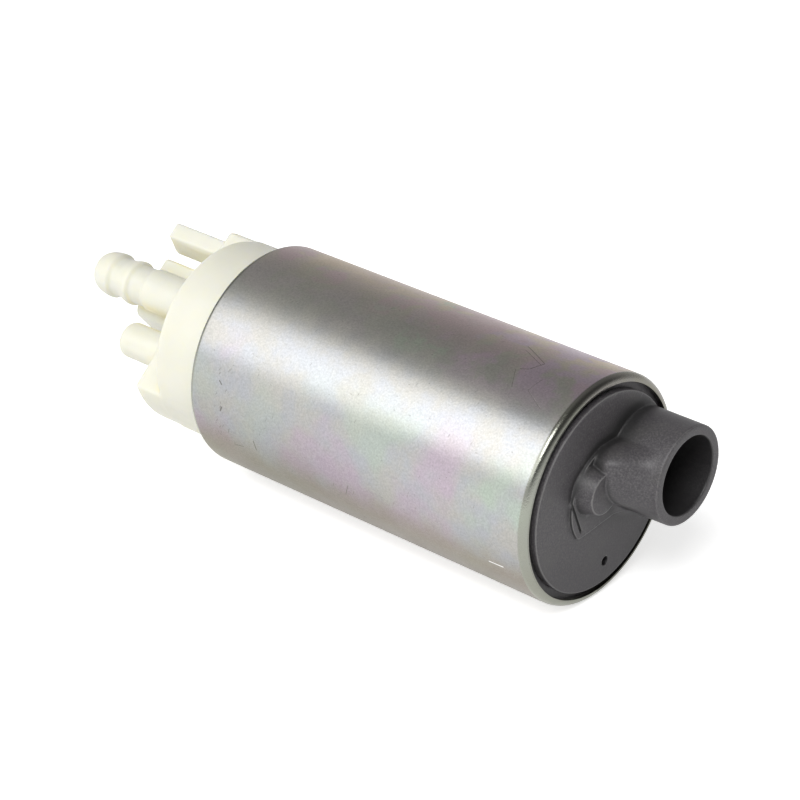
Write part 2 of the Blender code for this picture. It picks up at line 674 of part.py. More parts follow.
def make_pump_body():
    """Plate behind the impeller, with the chamber, the side channel and the bush's bore."""
    bore_r = BUSH_R + PRESS_GAP
    profile = [(CHAMBER_R, Z_BODY_FLOOR), (CHAMBER_R, Z_BODY_TOP), (FLANGE_R, Z_BODY_TOP),
               (FLANGE_R, Z_BODY_BOTTOM), (bore_r, Z_BODY_BOTTOM), (bore_r, Z_BODY_FLOOR)]
    body = turned("pump_body", profile, ROUND, ALUMINIUM, ring=True)
    channel = side_channel("body_channel", Z_BODY_FLOOR - CHANNEL_DEPTH, Z_BODY_FLOOR + OVERCUT)
    end = CHANNEL_START + CHANNEL_SWEEP - PORT_INSET / CHANNEL_OUT_R
    outlet = plate("pressure_port", [sector(CHANNEL_IN_R + PORT_INSET, CHANNEL_OUT_R - PORT_INSET,
                                            end - PORT_SWEEP, end, 4)],
                   Z_BODY_BOTTOM - OVERCUT, Z_BODY_FLOOR + OVERCUT / 2)
    cut(body, channel, outlet)


def bush(name, z_top):
    turned(name, [(SHAFT_R + RUN_GAP, z_top), (BUSH_R, z_top), (BUSH_R, z_top - BUSH_LEN),
                  (SHAFT_R + RUN_GAP, z_top - BUSH_LEN)], SMALL_SIDES, BRONZE, ring=True)


def make_shaft():
    """Ground shaft with a driving flat at the impeller's end."""
    z_end = Z_WEB - BUSH_INSET - BUSH_LEN - SHAFT_WELL_DEPTH / 2
    shaft = turned("motor_shaft", [(0.0, Z_SHAFT_TOP), (SHAFT_R - SHAFT_EDGE, Z_SHAFT_TOP),
                                   (SHAFT_R, Z_SHAFT_TOP - SHAFT_EDGE), (SHAFT_R, z_end),
                                   (0.0, z_end)], SMALL_SIDES, POLISHED)
    flat = plate("shaft_flat", [rectangle((SHAFT_FLAT, HUB_R), (-HUB_R, HUB_R))],
                 Z_BODY_FLOOR - BUSH_INSET / 2, Z_SHAFT_TOP + OVERCUT)
    cut(shaft, flat)


def tooth_outline(tip_r):
    """Star of T-shaped teeth round the shaft."""
    points = []
    root_half = math.asin(TOOTH_W / 2 / CORE_HUB_R)
    tip_in_r = CORE_R - TOOTH_TIP_T
    neck_half = math.asin(TOOTH_W / 2 / tip_in_r)
    tip_half = TOOTH_TIP_SWEEP / 2
    for i in range(TEETH):
        middle = math.tau * i / TEETH
        points += [polar(CORE_HUB_R, middle - root_half), polar(tip_in_r, middle - neck_half),
                   polar(tip_in_r + TOOTH_TIP_T / 3, middle - tip_half)]
        points += arc(tip_r, middle - tip_half, middle + tip_half, 4)
        points += [polar(tip_in_r + TOOTH_TIP_T / 3, middle + tip_half),
                   polar(tip_in_r, middle + neck_half), polar(CORE_HUB_R, middle + root_half)]
    return points


def make_armature():
    """Tooth stack with its end insulators and one winding round each tooth."""
    hole = circle(SHAFT_R + PRESS_GAP, SMALL_SIDES)
    plate("armature_core", [tooth_outline(CORE_R), hole], Z_CORE_BOTTOM, Z_CORE_TOP, LAMINATION)
    shy = tooth_outline(CORE_R - INSULATOR_SHY)
    low = Z_CORE_TOP + SEAT_GAP
    plate("insulator_inlet", [shy, hole], low, low + INSULATOR_T, GREEN)
    high = Z_CORE_BOTTOM - SEAT_GAP
    plate("insulator_outlet", [shy, hole], high - INSULATOR_T, high, GREEN)

    half_in = TOOTH_W / 2 + SLIP_GAP
    reach = SEAT_GAP + INSULATOR_T + END_GAP
    centre = (Z_CORE_TOP + Z_CORE_BOTTOM) / 2
    half_len = (Z_CORE_TOP - Z_CORE_BOTTOM) / 2 + reach
    inner = rectangle((-half_in, half_in), (-half_len, half_len))
    half_out = half_in + COIL_T
    outer = rounded_rectangle((-half_out, half_out), (-half_len - COIL_T, half_len + COIL_T),
                              COIL_ROUND, 2)
    radial = (COIL_IN_R + COIL_OUT_R) / 2
    half_radial = (COIL_OUT_R - COIL_IN_R) / 2
    for i in range(TEETH):
        angle = math.tau * i / TEETH
        coil = plate("armature_coil_%d" % (i + 1), [outer, inner], -half_radial, half_radial, COPPER)
        coil.rotation_euler = (math.pi / 2, 0.0, math.pi / 2 + angle)
        coil.location = (*polar(radial, angle), centre)


def make_spacer():
    """Sleeve on the shaft between the lower bush and the core's insulator."""
    top = Z_BODY_BOTTOM - END_GAP
    bottom = Z_CORE_TOP + SEAT_GAP + INSULATOR_T + SEAT_GAP
    turned("thrust_washer", [(SHAFT_R + PRESS_GAP, top), (SPACER_R, top), (SPACER_R, bottom),
                             (SHAFT_R + PRESS_GAP, bottom)], SMALL_SIDES, NYLON, ring=True)


def make_commutator():
    """Face commutator: a disc whose outlet face is split by radial slots, on a moulded hub."""
    hub_top = Z_CORE_BOTTOM - SEAT_GAP - INSULATOR_T - SEAT_GAP
    bore = SHAFT_R + PRESS_GAP
    profile = [(bore, hub_top), (COMM_HUB_R, hub_top), (COMM_HUB_R, Z_COMM_TOP),
               (COMM_R, Z_COMM_TOP), (COMM_R, Z_COMM_FACE), (COMM_HUB_R, Z_COMM_FACE),
               (COMM_HUB_R, Z_COMM_FACE + COMM_SLOT_DEPTH), (bore, Z_COMM_FACE + COMM_SLOT_DEPTH)]
    disc = turned("commutator", profile, ROUND // 2, CARBON, ring=True)
    for i in range(TEETH // 2):
        angle = math.tau * (i + 0.5) / TEETH
        slot = plate("commutator_slot_%d" % (i + 1),
                     [turned_block((0.0, 0.0), angle, COMM_R + OVERCUT, COMM_SLOT_W / 2)],
                     Z_COMM_FACE - OVERCUT, Z_COMM_FACE + COMM_SLOT_DEPTH)
        cut(disc, slot)


def make_field():
    """Flux ring, two arc magnets and the clips that spread them."""
    turned("flux_ring", [(FLUX_IN_R, Z_FLUX_TOP), (FLUX_R, Z_FLUX_TOP), (FLUX_R, Z_FLUX_BOTTOM),
                         (FLUX_IN_R, Z_FLUX_BOTTOM)], ROUND, IRON, ring=True)
    top = Z_FLUX_TOP - MAGNET_INSET
    bottom = Z_FLUX_BOTTOM + MAGNET_INSET
    names = ("magnet_north", "magnet_south")
    for name, middle in zip(names, (math.pi / 2, -math.pi / 2)):
        plate(name, [sector(MAGNET_IN_R, MAGNET_R, middle - MAGNET_SWEEP / 2,
                            middle + MAGNET_SWEEP / 2, MAGNET_SIDES)], bottom, top, FERRITE)
    gap_half = (math.pi - MAGNET_SWEEP) / 2
    for number, middle in enumerate((0.0, math.pi), start=1):
        outer_half = gap_half - END_GAP / MAGNET_IN_R
        inner_half = outer_half - CLIP_T / MAGNET_IN_R
        outer = arc(MAGNET_R, middle - outer_half, middle + outer_half, 5)
        inner = arc(MAGNET_R - CLIP_T, middle + inner_half, middle - inner_half, 5)
        outline = [polar(CLIP_IN_R, middle - outer_half)] + outer
        outline += [polar(CLIP_IN_R, middle + outer_half), polar(CLIP_IN_R, middle + inner_half)]
        outline += inner + [polar(CLIP_IN_R, middle - inner_half)]
        plate("magnet_clip_%d" % number, [outline], bottom, top, SPRING_STEEL)


def nozzle_solid():
    """Barbed hose nozzle: root, two rounded barbs and a domed tip."""
    def height(h):
        return Z_PLATFORM - h
    profile = [(0.0, height(-BURY)), (NOZZLE_ROOT_R, height(-BURY)),
               (NOZZLE_ROOT_R, height(NOZZLE_ROOT_H)),
               (NOZZLE_NECK_R, height(NOZZLE_ROOT_H + NOZZLE_TAPER)),
               (NOZZLE_NECK_R, height(BARB_2_H - BARB_CREST - BARB_BACK)),
               (BARB_2_R, height(BARB_2_H - BARB_CREST)),
               (BARB_2_R, height(BARB_2_H + BARB_CREST)),
               (NOZZLE_NECK_R, height(BARB_2_H + BARB_CREST + BARB_RUN)),
               (NOZZLE_NECK_R, height(BARB_H - BARB_CREST - BARB_BACK)),
               (BARB_R, height(BARB_H - BARB_CREST))]
    dome_from = BARB_H + BARB_CREST
    for i in range(DOME_STEPS + 1):
        reach, rise = polar(1.0, math.pi / 2 * i / DOME_STEPS)
        profile.append((NOZZLE_TIP_R + (BARB_R - NOZZLE_TIP_R) * reach,
                        height(dome_from + (NOZZLE_LEN - dome_from) * rise)))
    profile.append((0.0, height(NOZZLE_LEN)))
    return turned("nozzle", profile, NOZZLE_SIDES, parent=CAP, at=NOZZLE_AT)


def cap_projections():
    """Everything that stands on the cap's platform."""
    foot = Z_PLATFORM + BURY
    end = Z_PLATFORM - STUB_LEN
    edge = arc(STUB_EDGE, 0.0, -math.pi / 2, 3, (STUB_R - STUB_EDGE, end + STUB_EDGE))
    stub = turned("valve_stub", [(0.0, foot), (STUB_R, foot)] + edge + [(0.0, end)],
                  NOZZLE_SIDES, parent=CAP, at=STUB_AT)
    shroud = plate("connector_shroud", [rounded_rectangle(SHROUD_P, SHROUD_Q, SHROUD_CORNER)],
                   Z_SHROUD_END, foot, parent=CAP)
    post_outline = [(POST_P[0], POST_Q[0]), (POST_P[1], POST_Q[0]),
                    (POST_P[1], POST_Q[1]), (POST_P[0] + POST_CHAMFER_P, POST_Q[1]),
                    (POST_P[0], POST_Q[1] - POST_CHAMFER_Q)]
    post = plate("guide_post", [post_outline], Z_PLATFORM - POST_LEN, foot, parent=CAP)
    rib = plate("valve_rib", [strip(RIB_FROM, RIB_TO, RIB_T)], Z_PLATFORM - RIB_H, foot,
                parent=CAP)
    return nozzle_solid(), stub, shroud, post, rib


def cap_cavities():
    """Cutters for the bores, pockets and slots inside the cap."""
    past_web = Z_WEB + OVERCUT
    past_tip = Z_NOZZLE_TIP - OVERCUT
    valve = turned("valve_passage", [(0.0, Z_PLENUM), (PLENUM_R, Z_PLENUM),
                                     (PLENUM_R, Z_VALVE_BORE), (VALVE_BORE_R, Z_VALVE_BORE),
                                     (VALVE_BORE_R, Z_VALVE_STEP),
                                     (NOZZLE_CHAMBER_R, Z_VALVE_STEP),
                                     (NOZZLE_CHAMBER_R, Z_VALVE_STEP - NOZZLE_CHAMBER_LEN),
                                     (NOZZLE_BORE_R, Z_VALVE_STEP - NOZZLE_CHAMBER_LEN),
                                     (NOZZLE_BORE_R, past_tip), (0.0, past_tip)],
                   NOZZLE_SIDES, parent=CAP, at=NOZZLE_AT)
    flow = turned("flow_hole", [(0.0, past_web), (FLOW_R, past_web),
                                (FLOW_R, Z_PLENUM - FLOW_OVERLAP),
                                (0.0, Z_PLENUM - FLOW_OVERLAP)],
                  HOLE_SIDES, parent=CAP, at=FLOW_AT)
    relief_end = Z_WEB - RELIEF_BORE_LEN
    past_stub = Z_PLATFORM - STUB_LEN - OVERCUT
    relief = turned("relief_passage", [(0.0, past_web), (RELIEF_BORE_R, past_web),
                                       (RELIEF_BORE_R, relief_end), (RELIEF_VENT_R, relief_end),
                                       (RELIEF_VENT_R, past_stub), (0.0, past_stub)],
                    SMALL_SIDES, parent=CAP, at=STUB_AT)
    cutters = [valve, flow, relief]
    for number, angle in enumerate((BRUSH_ANGLE, BRUSH_ANGLE + math.pi), start=1):
        outline = turned_block(polar(BRUSH_AT_R, angle), angle, BRUSH_RADIAL / 2 + SLIP_GAP,
                               BRUSH_ACROSS / 2 + SLIP_GAP)
        cutters.append(plate("brush_chamber_%d" % number, [outline], Z_BRUSH_CHAMBER, past_web,
                             parent=CAP))
    for number, angle in enumerate(CHOKE_ANGLES, start=1):
        cutters.append(plate("choke_pocket_%d" % number,
                             [circle(CHOKE_POCKET_R, HOLE_SIDES, polar(CHOKE_AT_R, angle))],
                             Z_WEB - CHOKE_LEN - 2 * END_GAP, past_web, parent=CAP))
    socket = plate("socket", [rectangle((SHROUD_P[0] + SHROUD_WALL, SHROUD_P[1] - SHROUD_WALL),
                                        (SHROUD_Q[0] + SHROUD_WALL, SHROUD_Q[1] - SHROUD_WALL))],
                   Z_SHROUD_END - OVERCUT, Z_SOCKET_FLOOR, parent=CAP)
    cutters.append(socket)
    for number, p in enumerate(TERMINALS_P, start=1):
        slot = rectangle((p - TERMINAL_T / 2 - SEAT_GAP, p + TERMINAL_T / 2 + SEAT_GAP),
                         (TERMINAL_Q - TERMINAL_W / 2 - SEAT_GAP,
                          TERMINAL_Q + TERMINAL_W / 2 + SEAT_GAP))
        cutters.append(plate("terminal_slot_%d" % number, [slot], Z_SOCKET_FLOOR - OVERCUT, past_web,
                             parent=CAP))
    return cutters


def make_outlet_cap():
    """Moulded end piece that carries the brushes, both valves, the nozzle and the connector."""
    bush_bore = BUSH_R + PRESS_GAP
    bush_floor = Z_WEB - BUSH_INSET - BUSH_LEN - SEAT_GAP
    well_floor = bush_floor - SHAFT_WELL_DEPTH
    groove_low = Z_SHOULDER + SEAL_FROM_SHOULDER - SEAL_R - SEAL_SQUEEZE
    groove_high = Z_SHOULDER + SEAL_FROM_SHOULDER + SEAL_R + SEAL_SQUEEZE
    groove_r = BORE_R - SEAL_SQUEEZE - 2 * SEAL_R - SEAL_SQUEEZE
    skirt_in = SKIRT_R - SKIRT_T
    edge = arc(CAP_EDGE, 0.0, -math.pi / 2, 2, (CAP_R - CAP_EDGE, Z_PLATFORM + CAP_EDGE))
    profile = [(0.0, well_floor), (SHAFT_WELL_R, well_floor), (SHAFT_WELL_R, bush_floor),
               (bush_bore, bush_floor), (bush_bore, Z_WEB), (skirt_in, Z_WEB),
               (skirt_in, Z_SKIRT), (SKIRT_R, Z_SKIRT), (SKIRT_R, groove_high),
               (groove_r, groove_high), (groove_r, groove_low), (SKIRT_R, groove_low),
               (SKIRT_R, Z_SHOULDER), (CAP_R, Z_SHOULDER)]
    profile += edge + [(0.0, Z_PLATFORM)]
    cap = turned("outlet_cap", profile, ROUND, CREAM)
    step = plate("platform_step", [rectangle((-HOUSING_R, HOUSING_R), (PLATFORM_Q, HOUSING_R))],
                 Z_PLATFORM - OVERCUT, Z_RIM, parent=CAP)
    cut(cap, step)
    join(cap, *cap_projections())
    cut(cap, *cap_cavities())


def make_outlet_seal():
    centre = (BORE_R - SEAL_SQUEEZE - SEAL_R, Z_SHOULDER + SEAL_FROM_SHOULDER)
    profile = arc(SEAL_R, math.pi, -math.pi, 6, centre)[:-1]
    turned("outlet_seal", profile, ROUND, RUBBER, ring=True)


def make_brush(number, angle):
    """Carbon brush in its chamber, with its spring behind it and its copper lead."""
    centre = polar(BRUSH_AT_R, angle)
    brush = plate("brush_%d" % number,
                  [turned_block((0.0, 0.0), angle, BRUSH_RADIAL / 2, BRUSH_ACROSS / 2)],
                  Z_BRUSH_BOTTOM, Z_BRUSH_TOP, CARBON, parent=CAP)
    brush.location.x, brush.location.y = centre
    spring_from = Z_BRUSH_BOTTOM - SEAT_GAP - BRUSH_SPRING_WIRE
    spring_to = Z_BRUSH_CHAMBER + SEAT_GAP + BRUSH_SPRING_WIRE
    wire("brush_spring_%d" % number,
         helix(BRUSH_SPRING_R, spring_from, spring_to, BRUSH_SPRING_TURNS, centre),
         BRUSH_SPRING_WIRE, SPRING_STEEL, parent=CAP)


def make_lead(number, angle, choke):
    """Lead that leaves the brush's side and ends at the choke's mouth, over the cap's web."""
    centre = Vector(polar(BRUSH_AT_R, angle))
    z_run = (Z_WEB + Z_BRUSH_TOP) / 2
    target = Vector(choke)
    side = Vector(polar(1.0, angle + math.pi / 2))
    if side.dot(target - centre) < 0:
        side = -side
    start = centre + side * (BRUSH_ACROSS / 2 + SLIP_GAP)
    bend = start + side * LEAD_BEND
    route = [(*start, z_run)]
    for i in range(LEAD_STEPS):
        point = bend.lerp(target, i / LEAD_STEPS)
        route.append((*point, z_run))
    route.append((*target, z_run - LEAD_R))
    wire("brush_lead_%d" % number, route, LEAD_R, COPPER, parent=CAP)


def make_choke(number, place):
    """Ferrite rod with its winding, in a pocket of the cap."""
    top = Z_WEB - 2 * END_GAP
    bottom = top - CHOKE_LEN + 2 * END_GAP
    turned("choke_core_%d" % number, [(0.0, top), (CHOKE_CORE_R, top), (CHOKE_CORE_R, bottom),
                                      (0.0, bottom)], HOLE_SIDES, FERRITE, parent=CAP,
           at=place)
    radius = CHOKE_CORE_R + PRESS_GAP + CHOKE_WIRE
    wire("choke_coil_%d" % number,
         helix(radius, top - CHOKE_WIRE, bottom + CHOKE_WIRE, CHOKE_TURNS, place), CHOKE_WIRE,
         COPPER, parent=CAP)


def make_terminal(number, p):
    plate("terminal_%d" % number,
          [rectangle((p - TERMINAL_T / 2, p + TERMINAL_T / 2),
                     (TERMINAL_Q - TERMINAL_W / 2, TERMINAL_Q + TERMINAL_W / 2))],
          Z_SOCKET_FLOOR - TERMINAL_STANDS, Z_WEB - SEAT_GAP, TIN, parent=CAP)


def make_check_valve():
    """Seat, sprung poppet and the spider that guides its stem."""
    seat_top = Z_VALVE_BORE - SEAT_GAP
    seat_bottom = seat_top - SEAT_T
    outer = VALVE_BORE_R - SEAT_GAP
    turned("valve_seat", [(SEAT_BORE_R, seat_top), (outer, seat_top), (outer, seat_bottom),
                          (SEAT_BORE_R, seat_bottom)], NOZZLE_SIDES, BRONZE, parent=CAP,
           at=NOZZLE_AT, ring=True)
    head_top = seat_bottom - SEAT_GAP
    head_bottom = head_top - POPPET_HEAD
    stem_end = head_bottom - POPPET_STEM_LEN
    turned("check_valve", [(0.0, head_top), (POPPET_R, head_top), (POPPET_R, head_bottom),
                           (POPPET_STEM_R, head_bottom), (POPPET_STEM_R, stem_end),
                           (0.0, stem_end)], SMALL_SIDES, RUBBER, parent=CAP, at=NOZZLE_AT)
    retainer_low = Z_VALVE_STEP + SEAT_GAP
    retainer_high = retainer_low + RETAINER_T
    retainer = turned("valve_retainer", [(POPPET_STEM_R + PRESS_GAP, retainer_high),
                                         (outer, retainer_high), (outer, retainer_low),
                                         (POPPET_STEM_R + PRESS_GAP, retainer_low)], SMALL_SIDES,
                      NYLON, parent=CAP, at=NOZZLE_AT, ring=True)
    for i in range(RETAINER_HOLES):
        x, y = polar((POPPET_STEM_R + outer) / 2, math.tau * i / RETAINER_HOLES)
        hole = circle(RETAINER_HOLE_R, HOLE_SIDES, (NOZZLE_AT[0] + x, NOZZLE_AT[1] + y))
        cut(retainer, plate("retainer_hole_%d" % (i + 1), [hole], retainer_low - OVERCUT,
                            retainer_high + OVERCUT, parent=CAP))
    wire("check_spring",
         helix(CHECK_SPRING_R, head_bottom - SEAT_GAP - CHECK_SPRING_WIRE,
               retainer_high + SEAT_GAP + CHECK_SPRING_WIRE, CHECK_SPRING_TURNS, NOZZLE_AT),
         CHECK_SPRING_WIRE, SPRING_STEEL, parent=CAP)


def make_relief_valve():
    """Pressed seat, ball and spring in the stub's bore."""
    top = Z_WEB - SEAT_GAP
    bottom = top - RELIEF_SEAT_LEN
    outer = RELIEF_BORE_R - PRESS_GAP
    seat_edge_r = RELIEF_SEAT_BORE_R + RELIEF_SEAT_CHAMFER
    turned("relief_seat", [(RELIEF_SEAT_BORE_R, top), (outer, top), (outer, bottom),
                           (seat_edge_r, bottom),
                           (RELIEF_SEAT_BORE_R, bottom + RELIEF_SEAT_CHAMFER)], SMALL_SIDES,
           BRASS, parent=CAP, at=STUB_AT, ring=True)
    ball_z = bottom - math.sqrt((RELIEF_BALL_R + SEAT_GAP) ** 2 - seat_edge_r ** 2)
    profile = [(r, ball_z + z) for r, z in
               arc(RELIEF_BALL_R, math.pi / 2, -math.pi / 2, 8)]
    profile[0] = (0.0, ball_z + RELIEF_BALL_R)
    profile[-1] = (0.0, ball_z - RELIEF_BALL_R)
    turned("relief_ball", profile, NOZZLE_SIDES // 2, POLISHED, parent=CAP, at=STUB_AT)
    clear_of_ball = RELIEF_BALL_R + SEAT_GAP + RELIEF_SPRING_WIRE
    spring_from = ball_z - math.sqrt(clear_of_ball ** 2 - RELIEF_SPRING_R ** 2)
    spring_to = Z_WEB - RELIEF_BORE_LEN + SEAT_GAP + RELIEF_SPRING_WIRE
    wire("relief_spring",
         helix(RELIEF_SPRING_R, spring_from, spring_to, RELIEF_SPRING_TURNS, STUB_AT),
         RELIEF_SPRING_WIRE, SPRING_STEEL, parent=CAP)


clear_scene()
PARTS = new_collection("fuel_pump")
GUIDES = new_collection("guides")
PUMP = new_empty("pump_axis")
PUMP.location = (-(NECK_END + Z_NOZZLE_TIP) / 2, 0.0, AXIS_HEIGHT)
PUMP.rotation_euler = (math.pi / 2, 0.0, math.pi / 2)
CAP = new_empty("cap_axis", PUMP)
CAP.rotation_euler = (0.0, 0.0, CAP_ANGLE)

STEEL = material("zinc_plated_steel", (0.62, 0.61, 0.57), 0.32, 1.0)
BLACK = material("black_moulding", (0.045, 0.043, 0.045), 0.55)
CREAM = material("cream_moulding", (0.86, 0.85, 0.74), 0.42)
PHENOLIC = material("brown_phenolic", (0.10, 0.06, 0.04), 0.6)
ALUMINIUM = material("cast_aluminium", (0.66, 0.67, 0.68), 0.45, 1.0)
CERAMIC = material("thrust_ceramic", (0.80, 0.80, 0.78), 0.3)
POLISHED = material("ground_steel", (0.72, 0.72, 0.72), 0.15, 1.0)
BRONZE = material("sintered_bronze", (0.55, 0.36, 0.20), 0.5, 1.0)
LAMINATION = material("lamination_steel", (0.35, 0.35, 0.37), 0.5, 1.0)
GREEN = material("insulator_green", (0.10, 0.28, 0.18), 0.5)
COPPER = material("enamelled_copper", (0.65, 0.28, 0.12), 0.35, 1.0)
NYLON = material("white_nylon", (0.82, 0.82, 0.80), 0.5)
CARBON = material("brush_carbon", (0.06, 0.06, 0.065), 0.65)
IRON = material("soft_iron", (0.40, 0.40, 0.40), 0.5, 1.0)
FERRITE = material("ferrite", (0.09, 0.09, 0.10), 0.6)
SPRING_STEEL = material("spring_steel", (0.55, 0.55, 0.56), 0.25, 1.0)
RUBBER = material("seal_rubber", (0.03, 0.03, 0.03), 0.8)
TIN = material("tinned_brass", (0.74, 0.73, 0.68), 0.3, 1.0)
BRASS = material("brass", (0.72, 0.55, 0.25), 0.3, 1.0)

make_housing()
make_inlet_cover()
make_thrust_pad()
make_impeller()
make_pump_body()
bush("lower_bush", Z_BODY_FLOOR - BUSH_INSET)
bush("upper_bush", Z_WEB - BUSH_INSET)
make_shaft()
make_armature()
make_spacer()
make_commutator()
make_field()
make_outlet_cap()
make_outlet_seal()
for index in range(2):
    turn = BRUSH_ANGLE + math.pi * (1 - index)
    make_brush(index + 1, turn)
    place = polar(CHOKE_AT_R, CHOKE_ANGLES[index])
    make_lead(index + 1, turn, place)
    make_choke(index + 1, place)
    make_terminal(index + 1, TERMINALS_P[index])
make_check_valve()
make_relief_valve()
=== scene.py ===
"""Studio scene of an in-tank electric fuel pump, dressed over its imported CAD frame."""

import json
import math

import bmesh
import bpy
import numpy as np
import openvdb
from mathutils import Matrix, Vector


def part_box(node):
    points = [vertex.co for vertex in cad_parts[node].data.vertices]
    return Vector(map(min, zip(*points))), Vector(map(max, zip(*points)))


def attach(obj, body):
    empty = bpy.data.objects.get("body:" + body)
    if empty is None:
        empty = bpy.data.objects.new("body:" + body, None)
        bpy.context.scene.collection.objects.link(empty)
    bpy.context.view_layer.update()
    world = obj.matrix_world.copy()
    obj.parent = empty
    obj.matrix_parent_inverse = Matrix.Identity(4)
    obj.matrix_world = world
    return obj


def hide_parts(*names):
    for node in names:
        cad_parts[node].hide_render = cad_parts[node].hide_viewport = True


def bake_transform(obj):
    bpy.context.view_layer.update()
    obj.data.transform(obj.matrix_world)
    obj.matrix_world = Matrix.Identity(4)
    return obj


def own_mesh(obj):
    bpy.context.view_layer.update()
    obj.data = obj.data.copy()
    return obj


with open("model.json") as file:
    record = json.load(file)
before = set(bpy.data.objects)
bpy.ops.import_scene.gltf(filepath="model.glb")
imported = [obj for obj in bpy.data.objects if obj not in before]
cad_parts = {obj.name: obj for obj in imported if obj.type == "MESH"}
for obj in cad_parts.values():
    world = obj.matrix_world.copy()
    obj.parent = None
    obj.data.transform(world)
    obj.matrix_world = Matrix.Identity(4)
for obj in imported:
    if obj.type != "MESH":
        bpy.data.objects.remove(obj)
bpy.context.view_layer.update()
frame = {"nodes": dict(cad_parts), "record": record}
nodes = frame["nodes"]

MM = 0.001

# Lengths below are in millimetres. Along is measured from the plane of the housing's front lip
# towards the suction neck, across is +Y and up is +Z, both from the shaft.
LIP_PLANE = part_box("housing")[1].x / MM
SHAFT_HEIGHT = (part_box("motor_shaft")[0].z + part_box("motor_shaft")[1].z) / 2 / MM

# Camera, fitted to the photograph
CAMERA_FROM_LIP = 213.85
CAMERA_ACROSS = -295.6
CAMERA_HEIGHT = 234.2
CAMERA_RIGHT = (0.75812, 0.65211, 0.0)
CAMERA_UP = (-0.31345, 0.36440, 0.87690)
CAMERA_BACK = (0.57184, -0.66480, 0.48066)
LENS = 124.6
SENSOR_WIDTH = 36.0

# Housing
CAN_R = 18.95
CAN_LEN = 69.3
CAN_WALL = 1.0
LIP_ROUND = 1.25
LIP_BORE_R = 17.7
CRIMP_ROUND = 0.9
CRIMP_BORE_R = 17.1
CAN_BORE_R = 18.0
COUNTERBORE_R = 18.2
COUNTERBORE_END = 15.15
CAN_SIDES = 192
CAN_RINGS = 24
LIP_STEPS = 10
CRIMP_STEPS = 8
INNER_EDGE = 0.2
INNER_EDGE_STEPS = 3
SHARP_ANGLE = math.radians(28)

# Inlet cover; forms that stand on it are sunk into it
COVER_STEP = 0.17
COVER_REACH = 17.9
COVER_MARGIN = 0.5
COVER_FLATNESS = 0.004
SUNK_IN_COVER = 2.0
FACE_R = 16.5
FACE_PROUD = 0.4
FACE_EDGE = 0.3
FLANGE_TOP = -1.15
COVER_SPLIT = -0.9
HUB_R = 8.4
HUB_H = 0.5
HUB_FLAT_ANGLE = math.radians(-86)
HUB_FLAT_DIST = 4.9
HUB_CORNER = 0.5
HUB_EDGE = 0.1
HUB_FILLET = 0.1
GROOVE_FROM = (-8.3, 1.6)
GROOVE_TO = (-6.0, -4.0)
GROOVE_W = 0.4
GROOVE_FLOOR = 0.1
GROOVE_EDGE = 0.05
NECK_AT = (8.395, 2.956)
NECK_BASE_R = 8.3
NECK_TIP_R = 8.2
NECK_LEAN = (0.35, -0.35)
NECK_BORE_R = 6.5
NECK_END = 10.2
NECK_EDGE = 0.4
NECK_FLOOR = -0.8
NECK_BORE_EDGE = 0.35
NECK_STEEPNESS = 0.9
WEB_REACH = 4.6
WEB_ANGLES = (132, 160, 168, 222)
WEB_WALL_H = 2.2
WEB_H = 9.4
FOOT_FILLET = 1.5
LEAST_FOOT_FILLET = 0.15
FOOT_ANGLES = (200, 225, 285, 310)
LIP_GAP = 0.35
LEAST_ROOM = 0.05
BOSS_AT = (-3.7, 2.55)
BOSS_R = 4.1
BOSS_TOP_R = 3.35
BOSS_H = 2.7
BOSS_EDGE = 0.15
BOSS_FILLET = 0.12
VENT_AT = (1.25, -12.85)
VENT_R = 0.75
VENT_EDGE = 0.1

# Outlet cap; p and q are its own directions, turned by CAP_ANGLE about the shaft
CAP_ANGLE = math.radians(39.9)
CAP_STEP = 0.28
CAP_REACH = 17.4
CAP_MARGIN = 0.6
CAP_FLATNESS = 0.006
SUNK_IN_CAP = 1.5
CAD_REACH = 1.4
LEAST_WALL = 0.55
BORE_DEPTH = 3.0
CAP_R = 16.75
CAP_SPLIT = -68.7
RIM_END = -79.4
PLATFORM = -85.6
PLATFORM_Q = 6.45
CAP_EDGE = 0.8
RAISED_EDGE = 1.3
RAISED_SIDE_EDGE = 0.3
RAISED_FILLET = 0.5
NOZZLE_AT = (2.0, 2.75)
NOZZLE_LEN = 22.5
NOZZLE_BORE_R = 1.9
NOZZLE_STATIONS = (-2.0, 9.9, 10.4, 13.3, 13.7, 14.3, 16.2, 17.9, 18.3, 18.8)
NOZZLE_RADII = (3.75, 3.75, 3.4, 3.4, 3.92, 3.92, 3.45, 3.4, 3.95, 3.95)
NOZZLE_TIP_R = 2.2
NOZZLE_SOFTNESS = 0.13
NOZZLE_SAMPLE = 0.05
NOZZLE_PAST_ENDS = 2.0
NOZZLE_DOME_LEAD = 0.2
NOZZLE_END_EDGE = 0.5
NOZZLE_FILLET = 0.5
NOZZLE_BORE_EDGE = 0.45
STUB_AT = (-7.5, 2.65)
STUB_R = 3.1
STUB_LEN = 9.2
STUB_EDGE = 1.0
STUB_BORE_R = 1.3
STUB_FILLET = 0.4
STUB_BORE_EDGE = 0.35
SHROUD_P = (-1.6, 9.7)
SHROUD_Q = (-11.8, -2.8)
SHROUD_LEN = 16.7
SHROUD_WALL = 1.1
SHROUD_CORNER = 1.8
SHROUD_TIGHT_CORNER = 0.6
SHROUD_EDGE = 0.3
SHROUD_FILLET = 0.4
SOCKET_DEPTH = 12.0
SOCKET_CORNER = 0.5
SOCKET_EDGE = 0.3
BLADE_ROOM = 0.4
BLADE_FOOT = 0.1
BLADE_SLOPE = 0.5
POST_P = (10.75, 14.7)
POST_Q = (-1.85, 2.85)
POST_LEN = 13.9
POST_CHAMFER = (1.1, 3.6)
POST_EDGE = 0.2
POST_END_EDGE = 0.25
POST_FILLET = 0.3
